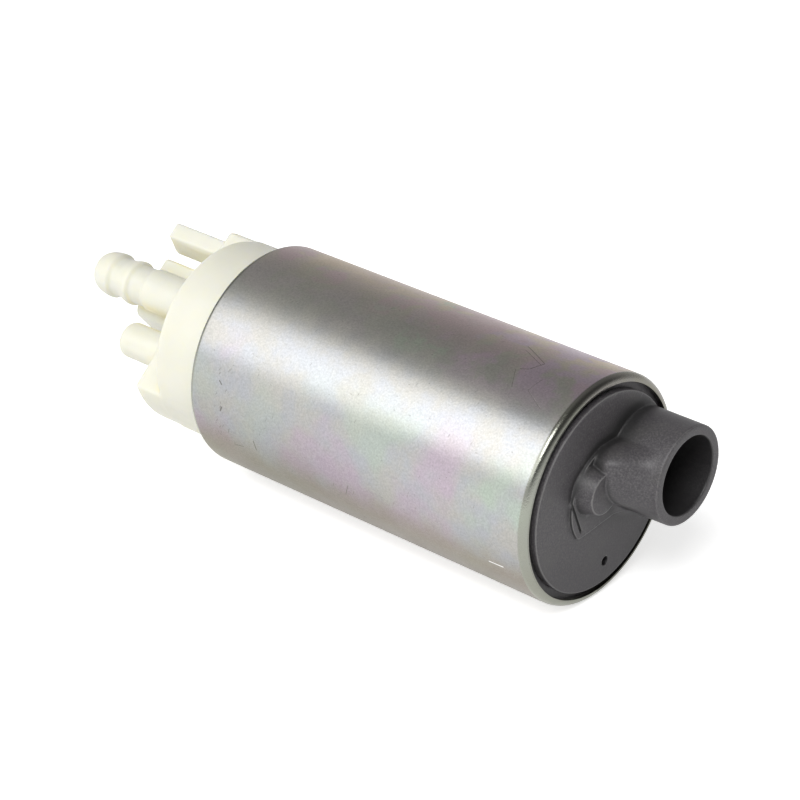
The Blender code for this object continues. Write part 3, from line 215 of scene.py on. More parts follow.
RIB_FROM = (-6.2, 1.2)
RIB_TO = (-1.9, -3.4)
RIB_T = 1.2
RIB_H = 5.4
RIB_EDGE = 0.4
RIB_FILLET = 0.3

# Grids: the distance given to what lies outside one, and a little more than its last cell
FAR_OUT = 4.0
LAST_CELL = 1.001

# Marks on the moulded pieces: how sharply an edge bends, per millimetre, where it is marked in full,
# in grid steps how far its slope is felt, and in millimetres how far out hollows are
SHARP_CURVE = 4.0
SLOPE_REACH = 0.7
HOLLOW_REACHES = (0.7, 1.6, 3.2, 6.0)

# Zinc plate: its colours
ZINC_COOL = (0.455, 0.467, 0.49)
ZINC_WARM = (0.49, 0.48, 0.45)
ZINC_OLIVE = (0.45, 0.443, 0.39)
ZINC_LILAC = (0.505, 0.425, 0.495)
ZINC_GREEN = (0.455, 0.52, 0.45)
ZINC_STRAW = (0.6, 0.5, 0.39)
ZINC_ROSE = (0.56, 0.43, 0.45)
# Brown below: a warm tint that is also painted shade on the underside
ZINC_BROWN_SHADE = (0.36, 0.325, 0.24)
ZINC_VIOLET = (0.53, 0.44, 0.5)
ZINC_MOSS = (0.44, 0.5, 0.41)
ZINC_MARK = (0.16, 0.15, 0.13)
ZINC_BRIGHT = (0.95, 0.95, 0.95)
ZINC_ROLLED = (0.33, 0.34, 0.29)
# Painted dark reflection on the tops of the rolled ends
ZINC_ROLLED_DARK_REFLECTION = (0.19, 0.195, 0.16)
# Painted shade line at the rear crimp
ZINC_RIM_SHADE = (0.1, 0.1, 0.085)

# Its noises, as (scale, detail, roughness)
ZINC_CLOUD = (55.0, 3.0, 0.5)
ZINC_DRIFT = (90.0, 3.0, 0.6)
ZINC_PATCHES = (95.0, 4.0, 0.6)
ZINC_WISP = (160.0, 4.0, 0.6)
ZINC_GRAIN = (3300.0, 3.0, 0.6)

# Where its tints set in and where they are full: round the can from its top towards the front, along
# it from the lip, and by noise. A third and fourth number are the amounts at both places.
OLIVE_ROUND = (15.0, 7.0)
FRONT_ROUND = (14.0, 24.0)
FAR_ROUND = (-14.0, -24.0)
NEAR_SIDE_ROUND = (-27.0, -18.0)
STRAW_ROUND = (6.0, -7.0)
PATCHES_ROUND = (13.0, 5.0)
ROSE_ROUND = (9.0, -3.0)
BROWN_ROUND = (36.0, 44.0)
GREEN_ALONG = (-50.0, -12.0, 0.35, 1.0)
VIOLET_ALONG = (-45.0, -15.0, 0.25, 1.0)
WARM_WISP = (0.35, 0.65)
LILAC_CLOUD = (0.5, 0.62)
GREEN_CLOUD = (0.48, 0.38)
STRAW_DRIFT = (0.4, 0.6, 0.35, 1.0)
ROSE_DRIFT = (0.54, 0.46)
VIOLET_PATCHES = (0.5, 0.6)
MOSS_PATCHES = (0.46, 0.38)
BROWN_RAGGED = 8.0
OLIVE_SHARE = 0.85
LILAC_SHARE = 0.9
BROWN_SHARE = 0.8
ROSE_SHARE = 0.8

# How its grain lightens it, and the painted shade that darkens it towards its underside
GRAIN_LIGHT = (0.3, 0.7, 0.86, 1.12)
SHADE_ROUND = (26.0, 47.0, 1.0, 0.6)
SHADE_ALONG = (-15.0, -45.0, 0.0, 4.0)

# Its nicks and scuffs, as (cell, slant, rarity), and where the scuffs lie
ZINC_NICKS = (((0.35, 1.7), 0.35, 0.992), ((0.8, 0.4), -0.6, 0.993))
ZINC_SCUFFS = ((0.5, 1.4), 0.5, 0.75)
SCUFFS_ALONG = ((-60.0, -61.0), (-64.0, -63.0))
SCUFFS_ROUND = ((19.0, 24.0), (38.0, 33.0))
NICK_CORE = (0.1, 0.3, 1.0, 0.0)
NICK_SHARE = 0.5
SCUFF_SHARE = 0.6

# Its scratches and one bright chip, as (start, end, width) in (along, around)
ZINC_SCRATCHES = (((-16.1, -1.7), (-10.5, 1.2), 0.1), ((-10.5, 1.2), (-11.6, 3.6), 0.12),
                  ((-15.5, -0.4), (-10.6, 1.9), 0.07), ((-13.5, 4.5), (-11.6, 8.0), 0.07),
                  ((-11.6, 3.6), (-13.0, 4.2), 0.09), ((-8.3, 4.6), (-8.9, 7.5), 0.06),
                  ((-8.9, 7.5), (-4.9, 9.7), 0.06), ((-62.9, 24.9), (-62.1, 25.6), 0.16),
                  ((-61.9, 29.2), (-62.3, 30.3), 0.2), ((-55.4, 33.3), (-55.1, 35.3), 0.13),
                  ((-35.2, 33.9), (-36.3, 36.4), 0.07), ((-60.3, 36.2), (-58.0, 35.7), 0.08))
ZINC_CHIP = ((-7.7, 37.2), (-4.7, 37.1), 0.15)
STROKE_CORE = 0.4
MARK_SHARE = 0.75
MARK_ROUGHER = 0.2
MARK_DEPTH = -0.6

# Its rolled ends, with painted dark reflection on their tops and a painted shade line at the rear crimp,
# and its gloss and relief
LIP_BAND = (-1.35, -1.0)
CRIMP_BAND = (1.1 - CAN_LEN, 0.7 - CAN_LEN)
RIM_SHADE_BAND = ((0.55 - CAN_LEN, 0.35 - CAN_LEN), (0.02 - CAN_LEN, 0.14 - CAN_LEN))
ROLLED_REFLECTION_ROUND = (26.0, 12.0)
ROLLED_SHARE = 0.85
ROLLED_SMOOTHER = -0.13
SATIN_WISP = (0.3, 0.7, -0.04, 0.04)
SATIN_ALONG = (-10.0, -65.0, 0.33, 0.39)
ZINC_RELIEF = (0.4, 0.00005)

# Cream acetal
CREAM_FLOW = (120.0, 3.0, 0.5)
CREAM_GRAIN = (1400.0, 3.0, 0.6)
CREAM_STOPS = ((0.35, (0.725, 0.718, 0.625)), (0.65, (0.75, 0.743, 0.65)))
# Painted warm bounce light in its hollows, and where it is laid on
CREAM_HOLLOW_LIGHT = (0.82, 0.765, 0.53)
CREAM_HOLLOW_LIGHT_MARK = (0.05, 0.6)
CREAM_GLOSS = (0.3, 0.7, 0.36, 0.5)
CREAM_GRAIN_SHARE = 0.3
CREAM_RELIEF = (0.2, 0.00012)

# Graphite grey nylon
NYLON_GRAIN = (3400.0, 2.0, 0.6)
NYLON_PATCHES = (130.0, 3.0, 0.6)
NYLON_STOPS = ((0.3, (0.05, 0.045, 0.051)), (0.5, (0.07, 0.065, 0.07)),
               (0.7, (0.11, 0.105, 0.106)))
NYLON_WORN = (0.1, 0.1, 0.088)
# Lighter edges, partly scuffed wear and partly painted highlight
NYLON_RUBBED_AND_HIGHLIGHT = (0.26, 0.255, 0.25)
# Painted shade in hollows, in the neck's bore and towards the bottom
NYLON_HOLLOW_SHADE = (0.02, 0.02, 0.02)
NYLON_BORE_SHADE = (0.01, 0.01, 0.01)
NYLON_LOW_SHADE = (0.02, 0.018, 0.021)
WORN_PATCHES = (0.5, 0.72, 0.0, 0.25)
RUBBED_AND_HIGHLIGHT_MARK = (0.4, 1.0)
RUBBED_AND_HIGHLIGHT_SHARE = 0.5
# How the painted shade is laid on in hollows, in the neck's bore and towards the bottom
NYLON_HOLLOW_SHADE_MARK = (0.05, 0.5, 0.0, 0.85)
BORE_SHADE_SHARE = 0.75
LOW_SHADE_REACH = 14.0
LOW_SHADE_SHARE = 0.35
NYLON_GLOSS = (0.3, 0.7, 0.4, 0.52)
NYLON_RELIEF = (0.3, 0.00005)

# Finishes of the pieces inside, as (colour, metallic, roughness), and the grain that they share
SLOT_FINISHES = {
    "ceramic": ((0.8, 0.8, 0.78), 0.0, 0.25),
    "brown_plastic": ((0.1, 0.06, 0.04), 0.0, 0.5),
    "cast_aluminium": ((0.66, 0.67, 0.68), 1.0, 0.45),
    "bronze": ((0.55, 0.36, 0.2), 1.0, 0.5),
    "ground_steel": ((0.72, 0.72, 0.72), 1.0, 0.2),
    "lamination": ((0.35, 0.35, 0.37), 1.0, 0.45),
    "insulator": ((0.1, 0.28, 0.18), 0.0, 0.5),
    "copper": ((0.65, 0.28, 0.12), 1.0, 0.3),
    "nylon": ((0.82, 0.82, 0.8), 0.0, 0.45),
    "carbon": ((0.06, 0.06, 0.065), 0.0, 0.6),
    "soft_iron": ((0.4, 0.4, 0.4), 1.0, 0.5),
    "ferrite": ((0.09, 0.09, 0.1), 0.0, 0.6),
    "spring_steel": ((0.55, 0.55, 0.56), 1.0, 0.3),
    "rubber": ((0.03, 0.03, 0.03), 0.0, 0.7),
    "tin": ((0.74, 0.73, 0.68), 1.0, 0.32),
    "brass": ((0.72, 0.55, 0.25), 1.0, 0.3),
}
INNER_GRAIN = 900.0
INNER_SPREAD = 0.12
INNER_TINT = (0.3, 0.7)
INNER_GLOSS = 0.07
INNER_RELIEF = (0.15, 0.00008)

# Studio: the sky's colour by height and by side, how much its near end is dimmed, and the white that
# the floor adds where it is seen
SKY_STOPS = ((0.0, (1.0, 1.0, 1.0)), (0.25, (0.78, 0.78, 0.78)), (0.6, (0.4, 0.4, 0.4)),
             (1.0, (0.37, 0.37, 0.37)))
FAR_STOPS = ((0.0, (1.0, 1.0, 1.0)), (1.0, (0.7, 0.7, 0.7)))
FAR_SIDE = (-0.6, 0.6)
NEAR_END_HEIGHT = (0.1, 0.35)
NEAR_END_SIDE = (0.0, 0.5)
NEAR_END_DIM = 0.65
BLACK = (0.0, 0.0, 0.0)
FLOOR_HALF = 3.0
FLOOR_WHITE = (0.88, 0.88, 0.88, 1.0)
FLOOR_GLOW = 0.6
FLOOR_GLOW_REFLECTED = 0.3

# Lamps, as (name, direction from the pump, distance, sides, power)
LAMPS = (("key", (-0.24, -0.71, 0.66), 1.5, (2.3, 1.15), 15.5),
         ("top", (0.35, -0.5, 0.78), 0.9, (0.35, 0.35), 3.2))


def set_up_camera():
    data = bpy.data.cameras.new("photo_camera")
    data.lens = LENS
    data.sensor_width = SENSOR_WIDTH
    data.clip_start = 0.01
    data.clip_end = 20.0
    camera = bpy.data.objects.new("photo_camera", data)
    place = Vector((LIP_PLANE + CAMERA_FROM_LIP, CAMERA_ACROSS, CAMERA_HEIGHT)) * MM
    turn = Matrix((CAMERA_RIGHT, CAMERA_UP, CAMERA_BACK)).transposed()
    camera.matrix_world = Matrix.Translation(place) @ turn.to_4x4()
    bpy.context.scene.collection.objects.link(camera)
    bpy.context.scene.camera = camera


def smooth_step(share):
    share = np.clip(share, 0.0, 1.0)
    return share * share * (3.0 - 2.0 * share)


def rise_and_fall(value, stations):
    """0 outside the first and last station, 1 between the middle ones, and smooth between."""
    start, full_from, full_to, end = stations
    rise = smooth_step((value - start) / (full_from - start))
    return rise * smooth_step((end - value) / (end - full_to))


def union(a, b, fillet=0.0):
    """Union of two distance fields, with a round fillet in the inner corner."""
    near = np.minimum(a, b)
    if np.isscalar(fillet) and fillet == 0.0:
        return near
    over_a = np.maximum(fillet - a, 0.0)
    over_b = np.maximum(fillet - b, 0.0)
    return np.maximum(fillet, near) - np.hypot(over_a, over_b)


def common(a, b, edge=0.0):
    """What two distance fields share, with a round outer edge."""
    far = np.maximum(a, b)
    if edge == 0.0:
        return far
    over_a = np.maximum(edge + a, 0.0)
    over_b = np.maximum(edge + b, 0.0)
    return np.minimum(-edge, far) + np.hypot(over_a, over_b)


def less(a, b, edge=0.0):
    return common(a, -b, edge)


def rectangle(p, q, p_range, q_range, corner=0.0):
    """Distance to a rectangle with round corners."""
    over_p = np.abs(p - sum(p_range) / 2) - (p_range[1] - p_range[0]) / 2 + corner
    over_q = np.abs(q - sum(q_range) / 2) - (q_range[1] - q_range[0]) / 2 + corner
    outside = np.hypot(np.maximum(over_p, 0.0), np.maximum(over_q, 0.0))
    return outside + np.minimum(np.maximum(over_p, over_q), 0.0) - corner


def strip(p, q, start, end, half):
    """Distance to a straight bar with round ends."""
    run_p = end[0] - start[0]
    run_q = end[1] - start[1]
    share = ((p - start[0]) * run_p + (q - start[1]) * run_q) / (run_p ** 2 + run_q ** 2)
    share = np.clip(share, 0.0, 1.0)
    return np.hypot(p - start[0] - share * run_p, q - start[1] - share * run_q) - half


class Lattice:
    """Points of a regular grid, which a moulded form's distance field is sampled on."""

    def __init__(self, low, high, step):
        self.low = np.array(low, np.float32)
        self.step = step
        axes = [np.arange(a, b + step, step, dtype=np.float32) for a, b in zip(low, high)]
        self.along = axes[0][:, None, None]
        self.across = axes[1][None, :, None]
        self.up = axes[2][None, None, :]
        self.shape = tuple(len(axis) for axis in axes)

    def node_field(self, node, reach):
        """Distance field of a CAD node, cut off at reach."""
        mesh = nodes[node].data
        mesh.calc_loop_triangles()
        corners = np.zeros(len(mesh.vertices) * 3, np.float32)
        mesh.vertices.foreach_get("co", corners)
        corners = corners.reshape(-1, 3) / MM - (LIP_PLANE, 0.0, SHAFT_HEIGHT)
        corners = (corners - self.low) / self.step
        triangles = np.zeros(len(mesh.loop_triangles) * 3, np.int32)
        mesh.loop_triangles.foreach_get("vertices", triangles)
        grid = openvdb.FloatGrid.createLevelSetFromPolygons(
            corners.astype(np.float32), triangles=triangles.reshape(-1, 3).astype(np.uint32),
            transform=openvdb.createLinearTransform(1.0), halfWidth=reach / self.step)
        field = np.zeros(self.shape, np.float32)
        grid.copyToArray(field)
        return field * self.step

    def sample(self, field, places):
        """Field between the grid's points, and by plain distance past its edge."""
        inside = np.clip(places, 0.0, np.array(self.shape) - LAST_CELL)
        past = np.linalg.norm(places - inside, axis=1) * self.step
        low = inside.astype(np.int32)
        share = inside - low
        total = 0.0
        for corner in range(8):
            step = np.array([corner & 1, corner >> 1 & 1, corner >> 2 & 1])
            weight = np.prod(np.where(step, share, 1.0 - share), axis=1)
            i, j, k = (low + step).T
            total = total + weight * field[i, j, k]
        return total + past

    def slope_and_curve(self, field, points, reach):
        """Slope of the field at some points, and how far its surface bends there, per millimetre."""
        slope = []
        curve = -6.0 * self.sample(field, points)
        for axis in range(3):
            shift = np.zeros(3)
            shift[axis] = reach
            after = self.sample(field, points + shift)
            before = self.sample(field, points - shift)
            slope.append(after - before)
            curve = curve + after + before
        return np.stack(slope, 1), curve / (reach * self.step) ** 2

    def mesh(self, name, field, adaptivity, inner):
        """Mesh of the field's surface, shaded by the field's own slope, with a CAD node's inner half."""
        field = np.array(np.broadcast_to(field, self.shape), np.float32, order="C")
        grid = openvdb.FloatGrid(FAR_OUT)
        grid.copyFromArray(field)
        points, triangles, quads = grid.convertToPolygons(0.0, adaptivity)
        slope, curve = self.slope_and_curve(field, points, SLOPE_REACH)
        normals = slope / np.maximum(np.linalg.norm(slope, axis=1), 1e-9)[:, None]
        places = (points * self.step + self.low + (LIP_PLANE, 0.0, SHAFT_HEIGHT)) * MM
        faces = triangles.tolist() + quads.tolist()
        inner_places, inner_faces = inner
        first = len(places)
        count = len(faces)
        faces += [[first + corner for corner in face] for face in inner_faces]
        data = bpy.data.meshes.new(name)
        data.from_pydata(places.tolist() + inner_places, [], faces)
        smooth = np.arange(len(data.polygons)) < count
        data.polygons.foreach_set("use_smooth", smooth)
        kept = [(0.0, 0.0, 0.0)] * len(inner_places)
        data.normals_split_custom_set_from_vertices(normals.tolist() + kept)
        # How enclosed each point is, kept as a mark by which the finishes paint light and shade into
        # hollows
        hidden = np.zeros(len(points))
        for reach in HOLLOW_REACHES:
            room = self.sample(field, points + normals * reach / self.step) / reach
            hidden = hidden + (1.0 - room) / len(HOLLOW_REACHES)
        for mark, amount in (("edge", curve / SHARP_CURVE), ("hollow", hidden)):
            values = np.zeros(len(data.vertices), np.float32)
            values[:len(points)] = np.clip(amount, 0.0, 1.0)
            data.attributes.new(mark, "FLOAT", "POINT").data.foreach_set("value", values)
        return data


def shade_smooth(data):
    data.polygons.foreach_set("use_smooth", np.ones(len(data.polygons), bool))


def add_piece(name, data, node, finish):
    """A scene piece that stands for one CAD node and moves with the pump."""
    obj = bpy.data.objects.new(name, data)
    bpy.context.scene.collection.objects.link(obj)
    data.materials.clear()
    data.materials.append(finish)
    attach(obj, "pump")
    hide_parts(node)


def arc(radius, start, end, steps, centre):
    points = []
    for i in range(steps + 1):
        angle = start + (end - start) * i / steps
        points.append((centre[0] + radius * math.cos(angle), centre[1] + radius * math.sin(angle)))
    return points


def revolve(name, profile, sides):
    """Ring of a closed profile of (radius, along) points about the shaft."""
    points = []
    for i in range(sides):
        turn = math.tau * i / sides
        for radius, along in profile:
            points.append(((LIP_PLANE + along) * MM, radius * math.cos(turn) * MM,
                           (SHAFT_HEIGHT + radius * math.sin(turn)) * MM))
    count = len(profile)
    faces = []
    for i in range(sides):
        here = i * count
        there = (i + 1) % sides * count
        for j in range(count):
            k = (j + 1) % count
            faces.append((here + j, here + k, there + k, there + j))
    data = bpy.data.meshes.new(name)
    data.from_pydata(points, [], faces)
    mesh = bmesh.new()
    mesh.from_mesh(data)
    bmesh.ops.recalc_face_normals(mesh, faces=mesh.faces)
    mesh.to_mesh(data)
    mesh.free()
    shade_smooth(data)
    data.set_sharp_from_angle(angle=SHARP_ANGLE)
    return data


def make_housing(finish):
    """Drawn steel can with its front lip and rear crimp rolled over the end pieces."""
    quarter = math.pi / 2
    lip = arc(LIP_ROUND, quarter, 0.0, LIP_STEPS, (CAN_R - LIP_ROUND, -LIP_ROUND))
    crimp = arc(CRIMP_ROUND, 0.0, -quarter, CRIMP_STEPS,
                (CAN_R - CRIMP_ROUND, CRIMP_ROUND - CAN_LEN))
    inner_edge = arc(INNER_EDGE, math.pi, quarter, INNER_EDGE_STEPS,
                     (LIP_BORE_R + INNER_EDGE, -INNER_EDGE))
    profile = [(LIP_BORE_R, -CAN_WALL)]
    profile += inner_edge + lip
    for i in range(1, CAN_RINGS):
        along = -LIP_ROUND - (CAN_LEN - LIP_ROUND - CRIMP_ROUND) * i / CAN_RINGS
        profile.append((CAN_R, along))
    profile += crimp
    over_crimp = CAN_WALL - CAN_LEN
    profile += [(CRIMP_BORE_R, -CAN_LEN), (CRIMP_BORE_R, over_crimp), (CAN_BORE_R, over_crimp),
                (CAN_BORE_R, -COUNTERBORE_END), (COUNTERBORE_R, -COUNTERBORE_END),
                (COUNTERBORE_R, -CAN_WALL)]
    data = revolve("housing_shell", profile, CAN_SIDES)
    add_piece("housing_shell", data, "housing", finish)


def make_inlet_cover(finish):
    """Moulded cover: disc, hub, boss and the suction neck with its web."""
    grid = Lattice((COVER_SPLIT - COVER_MARGIN, -COVER_REACH, -COVER_REACH),
                   (NECK_END + COVER_MARGIN, COVER_REACH, COVER_REACH), COVER_STEP)
    x, y, z = grid.along, grid.across, grid.up
    radial = np.hypot(y, z)
    above_foot = FACE_PROUD - SUNK_IN_COVER - x
    face = common(radial - FACE_R, x - FACE_PROUD, FACE_EDGE)
    hub_side = common(radial - HUB_R,
                      y * math.cos(HUB_FLAT_ANGLE) + z * math.sin(HUB_FLAT_ANGLE)
                      - HUB_FLAT_DIST, HUB_CORNER)
    hub = common(hub_side, x - FACE_PROUD - HUB_H, HUB_EDGE)
    groove = strip(y, z, GROOVE_FROM, GROOVE_TO, GROOVE_W / 2)
    hub = less(hub, common(groove, FACE_PROUD + GROOVE_FLOOR - x), GROOVE_EDGE)
    solid = union(face, common(hub, above_foot), HUB_FILLET)

    boss_r = np.hypot(y - BOSS_AT[0], z - BOSS_AT[1])
    boss_foot = FACE_PROUD + HUB_H
    draft = (BOSS_TOP_R - BOSS_R) / BOSS_H
    boss = common(boss_r - BOSS_R - draft * (x - boss_foot), x - boss_foot - BOSS_H, BOSS_EDGE)
    solid = union(solid, common(boss, above_foot), BOSS_FILLET)

    lean = (NECK_END - x) / (NECK_END - FACE_PROUD)
    from_y = y - NECK_AT[0] - NECK_LEAN[0] * lean
    from_z = z - NECK_AT[1] - NECK_LEAN[1] * lean
    neck_r = np.hypot(from_y, from_z)
    angle = np.degrees(np.arctan2(from_z, from_y)) % 360.0
    height = np.maximum(x - FACE_PROUD, 0.0)
    wall = NECK_BASE_R + (NECK_TIP_R - NECK_BASE_R) * height / (NECK_END - FACE_PROUD)
    swell = WEB_REACH * rise_and_fall(angle, WEB_ANGLES)
    wall = wall + swell * smooth_step((WEB_H - height) / (WEB_H - WEB_WALL_H))
    neck = common((neck_r - wall) * NECK_STEEPNESS, x - NECK_END, NECK_EDGE)
    wider = FOOT_FILLET - LEAST_FOOT_FILLET
    foot = LEAST_FOOT_FILLET + wider * rise_and_fall(angle, FOOT_ANGLES)
    room = np.maximum(LIP_BORE_R - LIP_GAP - radial, LEAST_ROOM)
    solid = union(solid, common(neck, FLANGE_TOP - x), np.minimum(foot, room))
    bore_r = np.hypot(y - NECK_AT[0], z - NECK_AT[1])
    solid = less(solid, common(bore_r - NECK_BORE_R, NECK_FLOOR - x), NECK_BORE_EDGE)
    vent_r = np.hypot(y - VENT_AT[0], z - VENT_AT[1])
    solid = less(solid, vent_r - VENT_R, VENT_EDGE)
    solid = common(solid, COVER_SPLIT - x)
    inner = inner_half("inlet_cover", COVER_SPLIT)
    data = grid.mesh("inlet_cover_moulded", solid, COVER_FLATNESS, inner)
    add_piece("inlet_cover_moulded", data, "inlet_cover", finish)


def nozzle_radius(height):
    """Barbed profile of the nozzle, rounded as it leaves the mould."""
    fine = np.arange(-NOZZLE_PAST_ENDS, NOZZLE_LEN + NOZZLE_PAST_ENDS, NOZZLE_SAMPLE)
    radius = np.interp(fine, NOZZLE_STATIONS, NOZZLE_RADII)
    spread = np.arange(-1.0, 1.01, NOZZLE_SAMPLE)
    kernel = np.exp(-(spread / NOZZLE_SOFTNESS) ** 2)
    padded = np.pad(radius, len(kernel) // 2, mode="edge")
    radius = np.convolve(padded, kernel / kernel.sum(), mode="valid")
    dome_from = NOZZLE_STATIONS[-1] - NOZZLE_DOME_LEAD
    share = np.clip((fine - dome_from) / (NOZZLE_LEN - dome_from), 0.0, 1.0)
    dome = NOZZLE_TIP_R + (NOZZLE_RADII[-1] - NOZZLE_TIP_R) * np.sqrt(1.0 - share ** 2)
    return np.interp(height, fine, np.minimum(radius, dome))


def make_outlet_cap(finish):
    """Moulded cap: skirt, platform, nozzle, valve stub, connector shroud, guide post and rib."""
    grid = Lattice((PLATFORM - NOZZLE_LEN - CAP_MARGIN, -CAP_REACH, -CAP_REACH),
                   (CAP_SPLIT + CAP_MARGIN, CAP_REACH, CAP_REACH), CAP_STEP)
    x, y, z = grid.along, grid.across, grid.up
    p = y * math.cos(CAP_ANGLE) + z * math.sin(CAP_ANGLE)
    q = z * math.cos(CAP_ANGLE) - y * math.sin(CAP_ANGLE)
    radial = np.hypot(y, z)
    skirt = common(radial - CAP_R, RIM_END - x, CAP_EDGE)
    raised = common(radial - CAP_R, q - PLATFORM_Q, RAISED_SIDE_EDGE)
    raised = common(raised, PLATFORM - x, RAISED_EDGE)
    solid = union(skirt, raised, RAISED_FILLET)

    height = PLATFORM - x
    nozzle_r = np.hypot(p - NOZZLE_AT[0], q - NOZZLE_AT[1])
    nozzle = common(nozzle_r - nozzle_radius(height), height - NOZZLE_LEN, NOZZLE_END_EDGE)
    stub_r = np.hypot(p - STUB_AT[0], q - STUB_AT[1])
    stub = common(stub_r - STUB_R, height - STUB_LEN, STUB_EDGE)
    corner = np.where(p < sum(SHROUD_P) / 2, SHROUD_CORNER, SHROUD_TIGHT_CORNER)
    shroud = rectangle(p, q, SHROUD_P, SHROUD_Q, corner)
    shroud = common(shroud, height - SHROUD_LEN, SHROUD_EDGE)
    run_p, run_q = POST_CHAMFER
    slant = (POST_P[0] + run_p - p) * run_q - (POST_Q[1] - q) * run_p
    post = rectangle(p, q, POST_P, POST_Q, POST_EDGE)
    post = common(post, slant / math.hypot(run_p, run_q), POST_EDGE)
    post = common(post, height - POST_LEN, POST_END_EDGE)
    rib = common(strip(p, q, RIB_FROM, RIB_TO, RIB_T / 2), height - RIB_H, RIB_EDGE)
    for form, fillet in ((nozzle, NOZZLE_FILLET), (stub, STUB_FILLET), (shroud, SHROUD_FILLET),
                         (post, POST_FILLET), (rib, RIB_FILLET)):
        solid = union(solid, common(form, -height - SUNK_IN_CAP), fillet)

    cad = grid.node_field("outlet_cap", CAD_REACH)
    solid = common(solid, np.minimum(cad, -solid - LEAST_WALL))
    nozzle_bore = common(nozzle_r - NOZZLE_BORE_R, NOZZLE_LEN - BORE_DEPTH - height)
    stub_bore = common(stub_r - STUB_BORE_R, STUB_LEN - BORE_DEPTH - height)
    socket = rectangle(p, q, (SHROUD_P[0] + SHROUD_WALL, SHROUD_P[1] - SHROUD_WALL),
                       (SHROUD_Q[0] + SHROUD_WALL, SHROUD_Q[1] - SHROUD_WALL), SOCKET_CORNER)
    floor = SHROUD_LEN - SOCKET_DEPTH
    solid = less(solid, nozzle_bore, NOZZLE_BORE_EDGE)
    solid = less(solid, stub_bore, STUB_BORE_EDGE)
    solid = less(solid, common(socket, floor - height), SOCKET_EDGE)
    blades = np.minimum(cad, floor + BLADE_FOOT - height)
    solid = np.where(socket < -BLADE_ROOM, np.maximum(solid, blades * BLADE_SLOPE), solid)
    solid = common(solid, x - CAP_SPLIT)
    inner = inner_half("outlet_cap", CAP_SPLIT)
    data = grid.mesh("outlet_cap_moulded", solid, CAP_FLATNESS, inner)
    add_piece("outlet_cap_moulded", data, "outlet_cap", finish)


def inner_half(node, split):
    """Corners and faces of the part of a CAD node that lies inside the housing, past the split."""
    mesh = bmesh.new()
    mesh.from_mesh(nodes[node].data)
    plane = Vector(((LIP_PLANE + split) * MM, 0.0, 0.0))
    outwards = 1.0 if split > -CAN_LEN / 2 else -1.0
    found = bmesh.ops.bisect_plane(mesh, geom=mesh.verts[:] + mesh.edges[:] + mesh.faces[:],
                                   plane_co=plane, plane_no=(outwards, 0.0, 0.0),
                                   clear_outer=True)
    edges = [item for item in found["geom_cut"] if isinstance(item, bmesh.types.BMEdge)]
    bmesh.ops.triangle_fill(mesh, edges=edges, use_beauty=True)
    mesh.verts.index_update()
    places = [tuple(vert.co) for vert in mesh.verts]
    faces = [[vert.index for vert in face.verts] for face in mesh.faces]
    mesh.free()
    return places, faces


def new_material(name):
    material = bpy.data.materials.new(name)
    material.use_nodes = True
    tree = material.node_tree
    shader = tree.nodes["Principled BSDF"]
    return material, tree, shader


def noise(tree, coordinates, scale, detail=4.0, roughness=0.55):
    node = tree.nodes.new("ShaderNodeTexNoise")
    node.inputs["Scale"].default_value = scale
    node.inputs["Detail"].default_value = detail
    node.inputs["Roughness"].default_value = roughness
    tree.links.new(coordinates, node.inputs["Vector"])
    return node.outputs["Fac"]


def ramp(tree, value, stops):
    """Colour ramp through (place, colour) stops."""
    node = tree.nodes.new("ShaderNodeValToRGB")
    elements = node.color_ramp.elements
    while len(elements) < len(stops):
        elements.new(0.5)
    for element, (place, colour) in zip(elements, stops):
        element.position = place
        element.color = (*colour, 1.0)
    tree.links.new(value, node.inputs["Fac"])
    return node.outputs["Color"]


def bump(tree, shader, height, strength, distance):
    node = tree.nodes.new("ShaderNodeBump")
    node.inputs["Strength"].default_value = strength
    node.inputs["Distance"].default_value = distance
    tree.links.new(height, node.inputs["Height"])
    tree.links.new(node.outputs["Normal"], shader.inputs["Normal"])


def combine(tree, operation, *values):
    """One Math node over sockets or numbers."""
    node = tree.nodes.new("ShaderNodeMath")
    node.operation = operation
    for socket, value in zip(node.inputs, values):
        if isinstance(value, (int, float)):
            socket.default_value = value
        else:
            tree.links.new(value, socket)
    return node.outputs["Value"]


def product(tree, first, *others):
    """Product of sockets and numbers."""
    for other in others:
        first = combine(tree, "MULTIPLY", first, other)
    return first


def mix_colour(tree, share, first, second):
    """Mix of two colours, each a socket or an RGB triple."""
    node = tree.nodes.new("ShaderNodeMix")
    node.data_type = "RGBA"
    tree.links.new(share, node.inputs["Factor"])
    for socket, colour in ((node.inputs["A"], first), (node.inputs["B"], second)):
        if isinstance(colour, tuple):
            socket.default_value = (*colour, 1.0)
        else:
            tree.links.new(colour, socket)
    return node.outputs["Result"]


def remap(tree, value, low, high, to_low=0.0, to_high=1.0, smooth=True):
    """Value taken from low..high to to_low..to_high, held at both ends."""
    node = tree.nodes.new("ShaderNodeMapRange")
    node.interpolation_type = "SMOOTHSTEP" if smooth else "LINEAR"
    for name, number in (("From Min", low), ("From Max", high), ("To Min", to_low),
                         ("To Max", to_high)):
        node.inputs[name].default_value = number
    tree.links.new(value, node.inputs["Value"])
    return node.outputs["Result"]


def object_space(tree):
    return tree.nodes.new("ShaderNodeTexCoord").outputs["Object"]


def shaded(colour, factor):
    return tuple(min(channel * factor, 1.0) for channel in colour)


